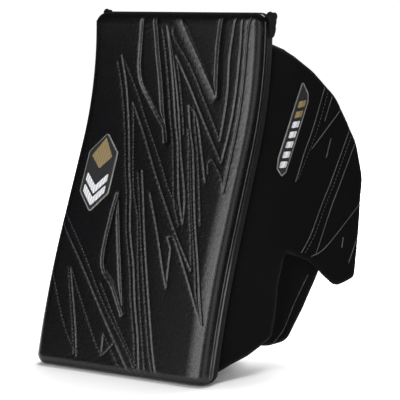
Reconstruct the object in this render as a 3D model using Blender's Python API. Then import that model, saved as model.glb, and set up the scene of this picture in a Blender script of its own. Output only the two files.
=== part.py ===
"""Ice hockey goalie blocker for the right hand.

A bent padded board carries a side wall with a thumb flap, an index finger guard, a glove with finger
stalls and a cuff. Lengths are in millimetres until the last step, which builds the meshes in metres.
The board stands on its lower end. +X runs to the thumb side, +Y runs from the face to the glove and
+Z is up. The origin is on the floor, in the middle of the board's flat foot.

Most pieces are laid out in board coordinates: x across, n behind the face, s along the bent board
from its lower end. bend() turns these into a place in the world.
"""
import bpy
import bmesh
from math import cos, pi, radians, sin, tan
from mathutils import Matrix, Vector

MM = 0.001
GAP = 0.3                       # clearance between pieces that touch

# ---- driving dimensions -------------------------------------------------------------------------
BOARD_WIDTH = 203.0             # 8 inches
BOARD_LENGTH = 381.0            # 15 inches, measured along the bend
FOOT_LEAN = radians(15.2)       # lean of the lower end, back from upright
WAIST_LEAN = radians(25.7)
TOP_LEAN = radians(-1.4)
FOOT_STRAIGHT = 12.0            # straight lower end, then an arc up to the waist
WAIST_START = 152.0
WAIST_END = 242.0
FOOT_FADE = 60.0                # height over which the floor cut fades out
FOOT_N = 15.5                   # the middle of the flat foot is this far behind the face

EDGE_ROLL = 11.0                # radius of the rolled edge of the face
PLAN_CORNER = 12.0              # corner radius of the board seen from the front
COVER = 1.8                     # thickness of the face cover
BOARD_SIDE = 20.0               # depth of the face cover's side
STIFFENER = 2.2
BACK_COVER = 2.2
BINDING_BACK = 24.0
BINDING_WIDTH = 3.2

PANEL_HALF = 5.5                # half the thickness of a padded panel
SKIN = 1.2                      # its outer skin and liner
TRIM = 2.0                      # half the width of an edge binding

WALL_X = 97.0                   # the side wall leaves the board here
WALL_N = 27.0
WALL_ANGLE = radians(22.0)
CREASE_X = 106.0                # straight hinge line of the thumb flap
CREASE_LOW = (162.0, 54.0)      # s and n of its ends
CREASE_HIGH = (346.0, 53.0)
FLAP_START_ANGLE = radians(24.0)
FLAP_END_ANGLE = radians(45.0)
FLAP_BEND = 58.0                # length over which the flap turns outwards

GUARD_X = 91.0                  # base line of the index finger guard
GUARD_N = 62.0
GUARD_ANGLE = radians(28.9)

HAND_LEFT = -26.0               # inside of the glove, little finger side
HAND_RIGHT = 84.0               # inside of the glove, thumb side
PALM_LOW = 142.0                # s of the knuckles
PALM_HIGH = 236.0               # s of the wrist
PAD_FRONT = 26.4                # hand pad's n
PAD_BACK = 34.5
PALM_N = 69.5                   # inside of the palm sheet
LEATHER = 2.4

FINGER_RADIUS = 12.6
STALL = 1.6                     # wall of a finger stall
KNUCKLE_Y = 80.5                # middle of the finger stalls at the knuckles
KNUCKLE_Z = 101.0
CURL = radians(34.0)            # rest angle between the two sections of a finger
FINGERS = (                     # name, x, length of each section
    ("index", 70.0, 40.0, 34.0),
    ("middle", 43.0, 43.0, 37.0),
    ("ring", 16.0, 41.0, 34.0),
    ("little", -11.0, 36.0, 29.0),
)
THUMB_RADIUS = 13.6
THUMB_ROOT = (82.0, 60.0, 200.0)        # x, n, s
THUMB_END = (96.0, 108.0, 178.0)
THUMB_BASE = 24.0
THUMB_TIP = 20.0
MITRE_GAP = 0.8                 # half the gap between finger sections, along the finger

CUFF_X = -42.0
CUFF_SIDE = 48.0                # straight side of the cuff
CUFF_TURN = 30.0                # radius of its turn across the wrist
CUFF_END = 20.0
CUFF_LOW = 244.0
CUFF_MIDDLE = 300.0             # height of the end that lies across the wrist
CUFF_HIGH = 334.0
CUFF_OUTER = WALL_N + CUFF_SIDE + CUFF_TURN + PANEL_HALF

HOOK_LOOP = 1.3                 # thickness of hook tape and of loop tape
WEBBING = 2.2
STRAP_RING_X = 84.0             # the strap starts here, beside its ring
STRAP_RING_N = 99.0
STRAP_RISE = 74.0               # width over which it rises to the cuff
CUFF_BACK = CUFF_OUTER + 3 * GAP + 2 * HOOK_LOOP
STRAP_END = -16.0
STRAP_MIDDLE = 262.0
STRAP_HALF = 15.0
RING_X = 86.0
RING_WIRE = 1.5

BACK_FACE = BOARD_SIDE + GAP + BACK_COVER
BOLSTER_LOW = 46.0
BOLSTER_HIGH = 134.0
BOLSTER_DEEP = 46.0             # n of the bolster's back at its lower and upper ends
BOLSTER_THIN = 34.0
GUARD_HALF = 4.5
HINGE_GAP = 1.8                 # from the flap's hinge line to each panel
TRIM_EDGE = 0.4                 # the board's binding stands this far inside the face cover
TRIM_SIDES = 8
TRIM_STEP = 9.5
EMBLEM = 1.0                    # thickness of the emblem and the badge
PATCH = 1.4
EYELET_X = -38.0
EYELET_ROWS = (154.0, 178.0, 202.0, 226.0)
EYELET_RADIUS = 3.6
EYELET_WIRE = 1.3
LACE_RADIUS = 1.6

BOARD_ROWS = [round(PLAN_CORNER + (BOARD_LENGTH - 2 * PLAN_CORNER) * k / 14, 3) for k in range(1, 14)]
ROLL_STEPS = 4
STALL_SIDES = 14


# ---- the board's bend ---------------------------------------------------------------------------
SPANS = (
    (FOOT_STRAIGHT, 0.0),
    (WAIST_START - FOOT_STRAIGHT, WAIST_LEAN - FOOT_LEAN),
    (WAIST_END - WAIST_START, 0.0),
    (BOARD_LENGTH - WAIST_END, TOP_LEAN - WAIST_LEAN),
)


def spine(s):
    """Y, Z and lean of the face's middle line at the arc length s."""
    y, z, lean, start = -FOOT_N / cos(FOOT_LEAN), 0.0, FOOT_LEAN, 0.0
    for index, (length, turn) in enumerate(SPANS):
        last = index == len(SPANS) - 1
        run = s - start if last else min(s - start, length)
        if turn == 0.0:
            y += run * sin(lean)
            z += run * cos(lean)
        else:
            radius = length / turn
            after = lean + run / radius
            y += radius * (cos(lean) - cos(after))
            z += radius * (sin(after) - sin(lean))
            lean = after
        start += length
        if s <= start:
            break
    return y, z, lean


def bend(x, n, s):
    """World place of a point in board coordinates."""
    y, z, lean = spine(s)
    return Vector((x, y + n * cos(lean), z - n * sin(lean)))


def board(x, s, n):
    """As bend, with the board's lower end cut level to stand on the floor."""
    level = n * tan(FOOT_LEAN) * max(0.0, 1.0 - s / FOOT_FADE)
    return bend(x, n, s + level)


def up_board(s):
    """Unit vector along the board at s."""
    lean = spine(s)[2]
    return Vector((0.0, sin(lean), cos(lean)))


# ---- surfaces of the padded panels: (a, b, t) to the world, t outwards through the thickness --------
def wall(n, s, t):
    """Side wall. a is n behind the face, b is s."""
    x = WALL_X + (n - WALL_N) * tan(WALL_ANGLE)
    return bend(x + t * cos(WALL_ANGLE), n - t * sin(WALL_ANGLE), s)


CREASE_A = bend(CREASE_X, CREASE_LOW[1], CREASE_LOW[0])
CREASE_B = bend(CREASE_X, CREASE_HIGH[1], CREASE_HIGH[0])


def crease_n(s):
    """n of the flap's straight hinge line, seen from the bent board at s."""
    y, z, lean = spine(s)
    along = (CREASE_B - CREASE_A).normalized()
    to_line = CREASE_A - Vector((CREASE_X, y, z))
    across = to_line.y * along.z - to_line.z * along.y
    return across / (cos(lean) * along.z + sin(lean) * along.y)


def flap(w, s, t):
    """Thumb flap. a is the distance w from the hinge line, b is s."""
    rate = (FLAP_END_ANGLE - FLAP_START_ANGLE) / FLAP_BEND
    angle = FLAP_START_ANGLE + rate * min(w, FLAP_BEND)
    x = (cos(FLAP_START_ANGLE) - cos(angle)) / rate
    n = (sin(angle) - sin(FLAP_START_ANGLE)) / rate
    straight = max(0.0, w - FLAP_BEND)
    x += straight * sin(angle) + t * cos(angle)
    n += straight * cos(angle) - t * sin(angle)
    return bend(CREASE_X + x, crease_n(s) + n, s)


def guard(w, s, t):
    """Index finger guard. a is the distance w from its base line, b is s."""
    x = GUARD_X + w * sin(GUARD_ANGLE) + t * cos(GUARD_ANGLE)
    n = GUARD_N + w * cos(GUARD_ANGLE) - t * sin(GUARD_ANGLE)
    return bend(x, n, s)


def cuff(w, s, t):
    """Cuff on the little finger side: straight back, a quarter turn, then across the wrist."""
    turned = min(max(w - CUFF_SIDE, 0.0) / CUFF_TURN, pi / 2)
    x = CUFF_X + CUFF_TURN * (1.0 - cos(turned)) - t * cos(turned)
    n = WALL_N + min(w, CUFF_SIDE) + (CUFF_TURN + t) * sin(turned)
    x += max(0.0, w - CUFF_SIDE - CUFF_TURN * pi / 2)
    return bend(x, n, s)


def strap(x, s, t):
    """Wrist strap. a is x, b is s. It rises from its ring and lies flat over the cuff."""
    part = min(max((STRAP_RING_X - x) / STRAP_RISE, 0.0), 1.0)
    n = STRAP_RING_N + (CUFF_BACK - STRAP_RING_N) * sin(part * pi / 2)
    return bend(x, n + t, s)


def gusset(n, s, t):
    """Plane side of the glove, at right angles to the board. t is x."""
    return bend(t, n, s)


def back_layer(x, s, t):
    """Layer behind the board. t is n."""
    return bend(x, t, s)


def bolster(x, s, t):
    """Foam wedge behind the board, thicker towards the fingertips. t runs from 0 to 1."""
    deep = BOLSTER_DEEP - (BOLSTER_DEEP - BOLSTER_THIN) * (s - BOLSTER_LOW) / (BOLSTER_HIGH - BOLSTER_LOW)
    front = BACK_FACE + GAP
    return bend(x, front + t * (deep - front), s)


# ---- outlines -----------------------------------------------------------------------------------
def outline(corners):
    """Points of an outline from corners (a, b, radius), with an arc at each rounded corner."""
    points = []
    count = len(corners)
    for i, (a, b, radius) in enumerate(corners):
        here = Vector((a, b))
        if radius == 0.0:
            points.append(here)
            continue
        back = (Vector(corners[i - 1][:2]) - here).normalized()
        ahead = (Vector(corners[(i + 1) % count][:2]) - here).normalized()
        half = back.angle(ahead) / 2
        reach = radius / tan(half)
        centre = here + (back + ahead).normalized() * radius / sin(half)
        first = here + back * reach - centre
        turn = pi - 2 * half
        side = 1.0 if back.cross(ahead) < 0.0 else -1.0
        steps = max(2, round(turn / radians(22.5)))
        for k in range(steps + 1):
            angle = side * turn * k / steps
            spun = Vector((first.x * cos(angle) - first.y * sin(angle),
                           first.x * sin(angle) + first.y * cos(angle)))
            points.append(centre + spun)
    return points


def rectangle(a0, a1, b0, b1, radius):
    return [(a0, b0, radius), (a1, b0, radius), (a1, b1, radius), (a0, b1, radius)]


def grown(points, distance):
    """Each point of a closed, anticlockwise outline moved outwards."""
    result = []
    for i, here in enumerate(points):
        into = (here - points[i - 1]).normalized()
        out_of = (points[(i + 1) % len(points)] - here).normalized()
        normal = Vector((into.y + out_of.y, -into.x - out_of.x)).normalized()
        result.append(here + normal * distance / max(0.5, normal.dot(Vector((into.y, -into.x)))))
    return result


def divided(path, size):
    """Open path with points added, so that it follows a curved surface."""
    result = [path[0]]
    for here, there in zip(path, path[1:]):
        count = max(1, round((there - here).length / size))
        result += [here.lerp(there, k / count) for k in range(1, count + 1)]
    return result


def steps(low, high, size):
    """Values between low and high, evenly spaced at about the size given."""
    count = max(1, round((high - low) / size))
    return [low + (high - low) * k / count for k in range(1, count)]


# ---- materials ----------------------------------------------------------------------------------
def material(name, colour, roughness, metallic=0.0):
    made = bpy.data.materials.new(name)
    made.use_nodes = True
    shader = made.node_tree.nodes["Principled BSDF"]
    shader.inputs["Base Color"].default_value = (*colour, 1.0)
    shader.inputs["Roughness"].default_value = roughness
    shader.inputs["Metallic"].default_value = metallic
    made.diffuse_color = (*colour, 1.0)
    return made


# ---- making objects -----------------------------------------------------------------------------
def clear_scene():
    for old in list(bpy.data.objects):
        bpy.data.objects.remove(old, do_unlink=True)


def pivot(name, place, parent=None):
    """Empty on a joint's axis, which the moving pieces are parented to."""
    empty = bpy.data.objects.new(name, None)
    empty.empty_display_size = 0.02
    bpy.context.collection.objects.link(empty)
    empty["place"] = place
    empty.location = place * MM
    if parent is not None:
        empty.parent = parent
        empty.location = (place - Vector(parent["place"])) * MM
    return empty


def finish(name, bm, finish_material, parent=None):
    """Object in metres from a mesh in millimetres, with its origin on its parent's axis."""
    origin = Vector(parent["place"]) if parent is not None else Vector()
    for vert in bm.verts:
        vert.co = (vert.co - origin) * MM
    bmesh.ops.recalc_face_normals(bm, faces=bm.faces)
    mesh = bpy.data.meshes.new(name)
    bm.to_mesh(mesh)
    bm.free()
    mesh.materials.append(finish_material)
    obj = bpy.data.objects.new(name, mesh)
    bpy.context.collection.objects.link(obj)
    obj.parent = parent
    return obj


def panel(name, corners, place, t0, t1, finish_material, cuts=((), ()), parent=None, grow=0.0):
    """Flat outline cut into strips, extruded and laid on the surface that place gives."""
    points = outline(corners)
    if grow:
        points = grown(points, grow)
    bm = bmesh.new()
    bm.faces.new([bm.verts.new((p.x, p.y, 0.0)) for p in points])
    bm.normal_update()
    for axis, values in enumerate(cuts):
        normal = Vector((1.0, 0.0, 0.0)) if axis == 0 else Vector((0.0, 1.0, 0.0))
        for value in values:
            geometry = bm.verts[:] + bm.edges[:] + bm.faces[:]
            bmesh.ops.bisect_plane(bm, geom=geometry, dist=0.05, plane_co=normal * value, plane_no=normal)
    bmesh.ops.triangulate(bm, faces=bm.faces[:])
    under = bm.verts[:]
    raised = bmesh.ops.extrude_face_region(bm, geom=bm.faces[:])["geom"]
    for vert in under:
        vert.co = place(vert.co.x, vert.co.y, t0)
    for vert in raised:
        if isinstance(vert, bmesh.types.BMVert):
            vert.co = place(vert.co.x, vert.co.y, t1)
    return finish(name, bm, finish_material, parent)


def loft(bm, rings, closed=False):
    """Faces between rings of points, with a face on each end or the last ring joined to the first."""
    rows = [[bm.verts.new(p) for p in ring] for ring in rings]
    pairs = list(zip(rows, rows[1:]))
    if closed:
        pairs.append((rows[-1], rows[0]))
    for low, high in pairs:
        count = len(low)
        for i in range(count):
            j = (i + 1) % count
            bm.faces.new((low[i], low[j], high[j], high[i]))
    if not closed:
        bm.faces.new(rows[0][::-1])
        bm.faces.new(rows[-1])


def trim(name, path, place, half, finish_material, parent=None):
    """Edge binding: an oval strip along the free edge that path follows, anticlockwise."""
    path = divided(path, TRIM_STEP)
    rings = []
    for i, here in enumerate(path):
        ahead = path[min(i + 1, len(path) - 1)] - path[max(i - 1, 0)]
        out = Vector((ahead.y, -ahead.x)).normalized()
        middle = here + out * (GAP + TRIM)
        ring = []
        for k in range(TRIM_SIDES):
            angle = 2 * pi * k / TRIM_SIDES
            spot = middle + out * TRIM * cos(angle)
            ring.append(place(spot.x, spot.y, half * sin(angle)))
        rings.append(ring)
    bm = bmesh.new()
    loft(bm, rings)
    bmesh.ops.triangulate(bm, faces=bm.faces[:])
    return finish(name, bm, finish_material, parent)


def padded(prefix, corners, place, half, looks, cuts, parent=None):
    """Three layers of a padded panel: foam core, outer skin and liner."""
    core = half - SKIN - GAP
    panel(prefix + "_core", corners, place, -core, core, looks["foam"], cuts, parent)
    panel(prefix + "_skin", corners, place, half - SKIN, half, looks["suede"], cuts, parent)
    panel(prefix + "_liner", corners, place, -half, SKIN - half, looks["lining"], cuts, parent)


def plan(inset, n):
    """Ring round the board in (x, s, n), with points at the same heights on both long sides."""
    half = BOARD_WIDTH / 2 - inset
    radius = max(PLAN_CORNER - inset, 1.0)
    top = BOARD_LENGTH - inset
    corners = [(-half, inset, radius), (half, inset, radius)]
    corners += [(half, row, 0.0) for row in BOARD_ROWS]
    corners += [(half, top, radius), (-half, top, radius)]
    corners += [(-half, row, 0.0) for row in reversed(BOARD_ROWS)]
    return [Vector((p.x, p.y, n)) for p in outline(corners)]


def to_board(bm):
    for vert in bm.verts:
        vert.co = board(vert.co.x, vert.co.y, vert.co.z)


def board_block(name, layers, finish_material):
    """Solid through rings round the board, given as (inset, n), closed by a face at each end."""
    bm = bmesh.new()
    loft(bm, [plan(inset, n) for inset, n in layers])
    for depth in (layers[0][1], layers[-1][1]):
        for row in sorted({round(p.y, 3) for p in plan(*layers[-1])}):
            lid = [f for f in bm.faces if all(abs(v.co.z - depth) < 1e-5 for v in f.verts)]
            lid = [f for f in lid if len(f.verts) > 4]
            geometry = lid + list({e for f in lid for e in f.edges}) + list({v for f in lid for v in f.verts})
            spot = Vector((0.0, row, 0.0))
            bmesh.ops.bisect_plane(bm, geom=geometry, dist=0.2, plane_co=spot, plane_no=(0.0, 1.0, 0.0))
    to_board(bm)
    bmesh.ops.triangulate(bm, faces=bm.faces[:])
    return finish(name, bm, finish_material)


def rolled(inset, radius, front, back):
    """(inset, n) from the back of a board layer's side over its rolled edge to its face."""
    layers = [(inset, back)]
    for k in range(ROLL_STEPS + 1):
        angle = pi / 2 * k / ROLL_STEPS
        layers.append((inset + radius * (1.0 - cos(angle)), front + radius * (1.0 - sin(angle))))
    return layers


def stall(name, start, along, side, length, tilts, radius, finish_material, parent, tip=False):
    """Hollow finger section with mitred ends, or with a round tip. side is the axis it bends about."""
    palm = side.cross(along)

    def ring(centre, size, normal):
        points = []
        for k in range(STALL_SIDES):
            angle = 2 * pi * k / STALL_SIDES
            reach = (side * cos(angle) + palm * sin(angle)) * size
            points.append(centre + reach - along * (reach.dot(normal) / along.dot(normal)))
        return points

    turned = [Matrix.Rotation(tilt, 3, side) @ along for tilt in tilts]
    end = start + along * length
    bore = radius - STALL
    outer = [ring(start, radius, turned[0]), ring(end, radius, turned[1])]
    inner = [ring(start, bore, turned[0]), ring(end, bore, turned[1])]
    if tip:
        for k in (30, 60, 80):
            angle = radians(k)
            outer.append(ring(end + along * radius * sin(angle), radius * cos(angle), along))
            inner.append(ring(end + along * bore * sin(angle), bore * cos(angle), along))
    bm = bmesh.new()
    loft(bm, inner[::-1] + outer, closed=not tip)
    bmesh.ops.triangulate(bm, faces=bm.faces[:])
    obj = finish(name, bm, finish_material, parent)
    obj.data.shade_smooth()
    obj.data.set_sharp_from_angle(angle=radians(40))
    return obj


def cord(name, points, radius, finish_material, cyclic=False):
    """Round cord or wire through the points given, in a smooth curve."""
    curve = bpy.data.curves.new(name, "CURVE")
    curve.dimensions = "3D"
    curve.bevel_depth = radius * MM
    curve.bevel_resolution = 2
    curve.use_fill_caps = not cyclic
    spline = curve.splines.new("POLY")
    spline.points.add(len(points) - 1)
    spline.use_cyclic_u = cyclic
    for point, place in zip(spline.points, points):
        point.co = (*(place * MM), 1.0)
    curve.materials.append(finish_material)
    obj = bpy.data.objects.new(name, curve)
    bpy.context.collection.objects.link(obj)
    return obj


def between(points, count):
    """Catmull-Rom curve through the points given, with count steps for each stretch."""
    run = [points[0] * 2 - points[1]] + points + [points[-1] * 2 - points[-2]]
    result = []
    for a, b, c, d in zip(run, run[1:], run[2:], run[3:]):
        for k in range(count):
            t = k / count
            bow = (b * 3 - a - c * 3 + d) * t ** 3 + (a * 2 - b * 5 + c * 4 - d) * t ** 2 + (c - a) * t
            result.append(b + bow / 2)
    return result + [points[-1]]


# ---- sub-parts ----------------------------------------------------------------------------------
def make_board(looks):
    shell = rolled(COVER, EDGE_ROLL - COVER, COVER, BOARD_SIDE)[::-1] + rolled(0.0, EDGE_ROLL, 0.0, BOARD_SIDE)
    board_block("face_cover", shell, looks["leather"])
    inside = COVER + GAP
    core_back = BOARD_SIDE - STIFFENER - 2 * GAP
    board_block("foam_core", rolled(inside, EDGE_ROLL - inside, inside, core_back), looks["foam"])
    sheet = core_back + GAP
    board_block("stiffener", [(inside, sheet + STIFFENER), (inside, sheet)], looks["plastic"])
    cover_edge = TRIM_EDGE + BINDING_WIDTH + GAP
    cover_front = BOARD_SIDE + GAP
    board_block("back_cover", [(cover_edge, BACK_FACE), (cover_edge, cover_front)], looks["leather"])
    bm = bmesh.new()
    inner = TRIM_EDGE + BINDING_WIDTH
    section = [(TRIM_EDGE, cover_front), (inner, cover_front), (inner, BINDING_BACK),
               (TRIM_EDGE + 1.2, BINDING_BACK), (TRIM_EDGE, BINDING_BACK - 1.2)]
    loft(bm, [plan(inset, n) for inset, n in section], closed=True)
    to_board(bm)
    bmesh.ops.triangulate(bm, faces=bm.faces[:])
    finish("edge_binding", bm, looks["binding"])
    emblem = [(-67.0, 164.0, 3.0), (-49.0, 186.0, 4.0), (-49.0, 231.0, 4.0),
              (-67.0, 253.0, 3.0), (-85.0, 231.0, 4.0), (-85.0, 186.0, 4.0)]
    rows = ((), steps(164.0, 253.0, 22.0))
    panel("face_emblem", emblem, back_layer, -GAP - EMBLEM, -GAP, looks["emblem"], rows)


def make_wall(looks):
    rows = steps(0.0, BOARD_LENGTH, 21.0)
    hinge = [(crease_n(s) - HINGE_GAP, s, 0.0) for s in (154.0, 185.0, 215.0, 245.0, 280.0, 315.0, 343.5)]
    front = WALL_N - 1.2
    lower = [(front, 20.0, 0.0), (42.0, 29.0, 0.0), (60.0, 41.0, 40.0), (84.5, 66.0, 16.0),
             (84.5, 90.0, 60.0), (80.7, 125.0, 60.0), (82.0, 154.0, 6.0)]
    corners = lower + hinge + [(front, 353.0, 0.0)]
    cuts = (steps(front, 84.5, 15.0), rows)
    padded("side_wall", corners, wall, PANEL_HALF, looks, cuts)
    free = outline(corners)
    turn = free.index(Vector(hinge[0][:2]))
    trim("side_wall_binding", free[:turn + 1], wall, PANEL_HALF, looks["binding"])
    trim("side_wall_top_binding", free[-2:], wall, PANEL_HALF, looks["binding"])


def make_flap(looks):
    hinge = pivot("thumb_flap_axis", (CREASE_A + CREASE_B) / 2)
    corners = [(HINGE_GAP, 167.5, 0.0), (44.0, 168.0, 20.0), (66.0, 165.0, 12.0), (95.0, 147.5, 9.0),
               (108.5, 160.5, 5.0), (106.0, 205.0, 90.0), (102.0, 253.0, 25.0), (90.0, 276.0, 30.0),
               (60.0, 309.0, 50.0), (31.0, 326.5, 60.0), (HINGE_GAP, 341.0, 0.0)]
    cuts = (steps(0.0, 108.0, 12.0), steps(147.0, 341.0, 19.0))
    padded("thumb_flap", corners, flap, PANEL_HALF, looks, cuts, hinge)
    trim("thumb_flap_binding", outline(corners), flap, PANEL_HALF, looks["binding"], hinge)
    badge = [(20.0, 323.0, 2.0), (14.5, 300.0, 0.0), (4.0, 250.0, 0.0), (4.5, 240.0, 2.0),
             (12.0, 234.0, 2.0), (17.0, 240.0, 0.0), (31.0, 305.0, 0.0), (30.0, 312.0, 2.0)]
    on_skin = PANEL_HALF + GAP
    panel("flap_badge", badge, flap, on_skin, on_skin + EMBLEM, looks["badge"],
          ((), steps(234.0, 323.0, 15.0)), hinge)


def make_guard(looks):
    hinge = pivot("index_guard_axis", guard(0.0, 110.0, 0.0))
    corners = [(6.0, 62.0, 4.0), (42.0, 57.5, 30.0), (66.0, 70.0, 18.0), (78.0, 112.0, 90.0),
               (91.0, 165.0, 8.0), (48.0, 164.0, 14.0), (6.0, 163.0, 6.0)]
    cuts = ((), steps(57.0, 165.0, 21.0))
    padded("index_guard", corners, guard, GUARD_HALF, looks, cuts, hinge)
    closed = outline(corners)
    trim("index_guard_binding", closed[2:], guard, GUARD_HALF, looks["binding"], hinge)


def make_glove(looks):
    mid_rows = ((), steps(PALM_LOW, PALM_HIGH, 31.0))
    low, high = PALM_LOW + 2.0, PALM_HIGH - 2.0
    left, right = HAND_LEFT + 0.5, HAND_RIGHT - 0.5
    loop = BACK_FACE + GAP
    hook = loop + HOOK_LOOP + GAP
    fastening = rectangle(left + 4.0, right - 4.0, low + 4.0, high - 4.0, 6.0)
    panel("board_loop_panel", fastening, back_layer, loop, loop + HOOK_LOOP, looks["loop"])
    panel("glove_hook_panel", fastening, back_layer, hook, hook + HOOK_LOOP, looks["hook"])
    pad = rectangle(left, right, low, high, 8.0)
    panel("hand_pad", pad, back_layer, PAD_FRONT, PAD_BACK, looks["lining"], mid_rows)
    palm = [(HAND_LEFT, PALM_LOW, 0.0), (HAND_RIGHT, PALM_LOW, 0.0), (HAND_RIGHT, 175.0, 3.0),
            (60.0, 178.0, 12.0), (60.0, 222.0, 12.0), (HAND_RIGHT, 225.0, 3.0),
            (HAND_RIGHT, PALM_HIGH, 0.0), (HAND_LEFT, PALM_HIGH, 0.0)]
    palm_back = PALM_N + LEATHER
    panel("palm_sheet", palm, back_layer, PALM_N, palm_back, looks["palm"])
    patch = rectangle(-16.0, 50.0, 154.0, 229.0, 14.0)
    panel("palm_grip_patch", patch, back_layer, palm_back + GAP, palm_back + GAP + PATCH, looks["grip"])
    gusset_front = PAD_FRONT - 0.4
    little = rectangle(gusset_front, palm_back, PALM_LOW, PALM_HIGH, 0.0)
    outside = HAND_LEFT - 0.4
    panel("little_finger_gusset", little, gusset, outside - LEATHER, outside, looks["palm"])
    thumb = [(gusset_front, PALM_LOW, 0.0), (palm_back, PALM_LOW, 0.0), (palm_back, 173.0, 3.0),
             (48.0, 182.0, 10.0), (48.0, 218.0, 10.0), (palm_back, 227.0, 3.0),
             (palm_back, PALM_HIGH, 0.0), (gusset_front, PALM_HIGH, 0.0)]
    outside = HAND_RIGHT + 0.4
    panel("thumb_gusset", thumb, gusset, outside, outside + LEATHER, looks["palm"])
    wedge = rectangle(left + 1.5, right - 1.5, BOLSTER_LOW, BOLSTER_HIGH, 10.0)
    panel("finger_bolster", wedge, bolster, 0.0, 1.0, looks["foam"], ((), steps(BOLSTER_LOW, BOLSTER_HIGH, 15.0)))


def make_fingers(looks):
    down = Vector((0.0, 0.0, -1.0))
    side = Vector((1.0, 0.0, 0.0))
    for name, x, upper, lower in FINGERS:
        knuckle = Vector((x, KNUCKLE_Y, KNUCKLE_Z))
        mitre = -WAIST_LEAN / 2
        knuckle_axis = pivot(name + "_knuckle_axis", hinge_point(knuckle, down, side, mitre, FINGER_RADIUS))
        stall(name + "_finger_upper", knuckle, down, side, upper, (mitre, CURL / 2), FINGER_RADIUS,
              looks["palm"], knuckle_axis)
        middle = knuckle + down * (upper + MITRE_GAP)
        middle_axis = pivot(name + "_middle_axis", hinge_point(middle, down, side, CURL / 2, FINGER_RADIUS),
                            knuckle_axis)
        curled = Matrix.Rotation(CURL, 3, side) @ down
        stall(name + "_finger_tip", middle + curled * MITRE_GAP, curled, side, lower, (-CURL / 2, 0.0),
              FINGER_RADIUS, looks["palm"], middle_axis, tip=True)


def hinge_point(middle, along, side, tilt, radius):
    """Place of a fabric hinge, just outside the palm side of a finger's mitred end."""
    normal = Matrix.Rotation(tilt, 3, side) @ along
    return middle + side.cross(normal) * (radius / cos(tilt) + 1.0)


def make_thumb(looks):
    root = bend(*THUMB_ROOT)
    along = (bend(*THUMB_END) - root).normalized()
    side = up_board(THUMB_ROOT[2])
    side = (side - along * side.dot(along)).normalized()
    base_axis = pivot("thumb_base_axis", hinge_point(root, along, side, 0.0, THUMB_RADIUS))
    stall("thumb_base", root, along, side, THUMB_BASE, (0.0, 0.0), THUMB_RADIUS, looks["palm"], base_axis)
    middle = root + along * (THUMB_BASE + MITRE_GAP)
    tip_axis = pivot("thumb_tip_axis", hinge_point(middle, along, side, 0.0, THUMB_RADIUS), base_axis)
    stall("thumb_tip", middle + along * MITRE_GAP, along, side, THUMB_TIP, (0.0, 0.0), THUMB_RADIUS,
          looks["palm"], tip_axis, tip=True)


def make_cuff(looks):
    far = CUFF_SIDE + CUFF_TURN * pi / 2 + CUFF_END
    corners = [(0.0, CUFF_LOW, 0.0), (far, CUFF_LOW, 12.0), (far, CUFF_MIDDLE, 20.0),
               (CUFF_SIDE, CUFF_HIGH, 30.0), (0.0, CUFF_HIGH, 0.0)]
    across = [24.0, CUFF_SIDE] + steps(CUFF_SIDE, far - CUFF_END, 9.5) + [far - CUFF_END]
    cuts = (across, steps(CUFF_LOW, CUFF_HIGH, 15.0))
    padded("cuff", corners, cuff, PANEL_HALF, looks, cuts)
    trim("cuff_binding", outline(corners), cuff, PANEL_HALF, looks["binding"])
    wrist = rectangle(WALL_N - 1.0, 80.0, 243.0, 300.0, 6.0)
    panel("wrist_panel", wrist, gusset, 82.3, 89.7, looks["lining"], ((), steps(243.0, 300.0, 15.0)))


def make_strap(looks):
    low, high = STRAP_MIDDLE - STRAP_HALF, STRAP_MIDDLE + STRAP_HALF
    rows = steps(low, high, 15.0)
    cover = CUFF_OUTER + GAP
    patch = rectangle(STRAP_END + 2.0, STRAP_END + 24.0, low + 1.0, high - 1.0, 3.0)
    panel("strap_loop_patch", patch, back_layer, cover, cover + HOOK_LOOP, looks["loop"], ((), rows))
    tab = rectangle(80.3, 86.0, STRAP_MIDDLE - 13.0, STRAP_MIDDLE + 13.0, 0.0)
    panel("ring_tab", tab, gusset, 84.5, 87.5, looks["webbing"], ((), steps(low, high, 15.0)))
    ring = [bend(RING_X, p.x, p.y) for p in outline(rectangle(88.0, 97.0, low - 2.0, high + 2.0, 3.5))]
    cord("strap_ring", ring, RING_WIRE, looks["steel"], cyclic=True)
    hinge = pivot("wrist_strap_axis", bend(RING_X, 97.0, STRAP_MIDDLE))
    hook_front = cover + HOOK_LOOP + GAP
    panel("strap_hook_patch", patch, back_layer, hook_front, hook_front + HOOK_LOOP, looks["hook"],
          ((), rows), hinge)
    band = [(STRAP_END, low, 10.0), (STRAP_RING_X, low, 0.0), (STRAP_RING_X, high, 0.0), (STRAP_END, high, 10.0)]
    across = steps(STRAP_END, STRAP_RING_X, 9.0)
    panel("wrist_strap", band, strap, 0.0, WEBBING, looks["webbing"], (across, rows), hinge)


def make_lacing(looks):
    flange_front = BACK_FACE + GAP
    flange_back = flange_front + LEATHER - 0.6
    flange = rectangle(-46.0, HAND_LEFT - 3.4, 146.0, 234.0, 5.0)
    panel("lacing_flange", flange, back_layer, flange_front, flange_back, looks["palm"])
    middle = flange_back + GAP + EYELET_WIRE
    for number, s in enumerate(EYELET_ROWS, 1):
        circle = []
        for k in range(16):
            angle = 2 * pi * k / 16
            circle.append(bend(EYELET_X + EYELET_RADIUS * cos(angle), middle, s + EYELET_RADIUS * sin(angle)))
        cord("eyelet_%d" % number, circle, EYELET_WIRE, looks["steel"], cyclic=True)
    for name, first, last in (("lower", 0, 1), ("upper", 2, 3)):
        a, b = EYELET_ROWS[first], EYELET_ROWS[last]
        start = flange_back + GAP
        lift = start + 6.0
        route = [bend(EYELET_X, start, a), bend(EYELET_X, lift - 2.0, a + 1.0), bend(EYELET_X, lift, a + 6.0),
                 bend(EYELET_X, lift, b - 6.0), bend(EYELET_X, lift - 2.0, b - 1.0), bend(EYELET_X, start, b)]
        cord("lace_" + name, between(route, 3), LACE_RADIUS, looks["lace"])


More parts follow.
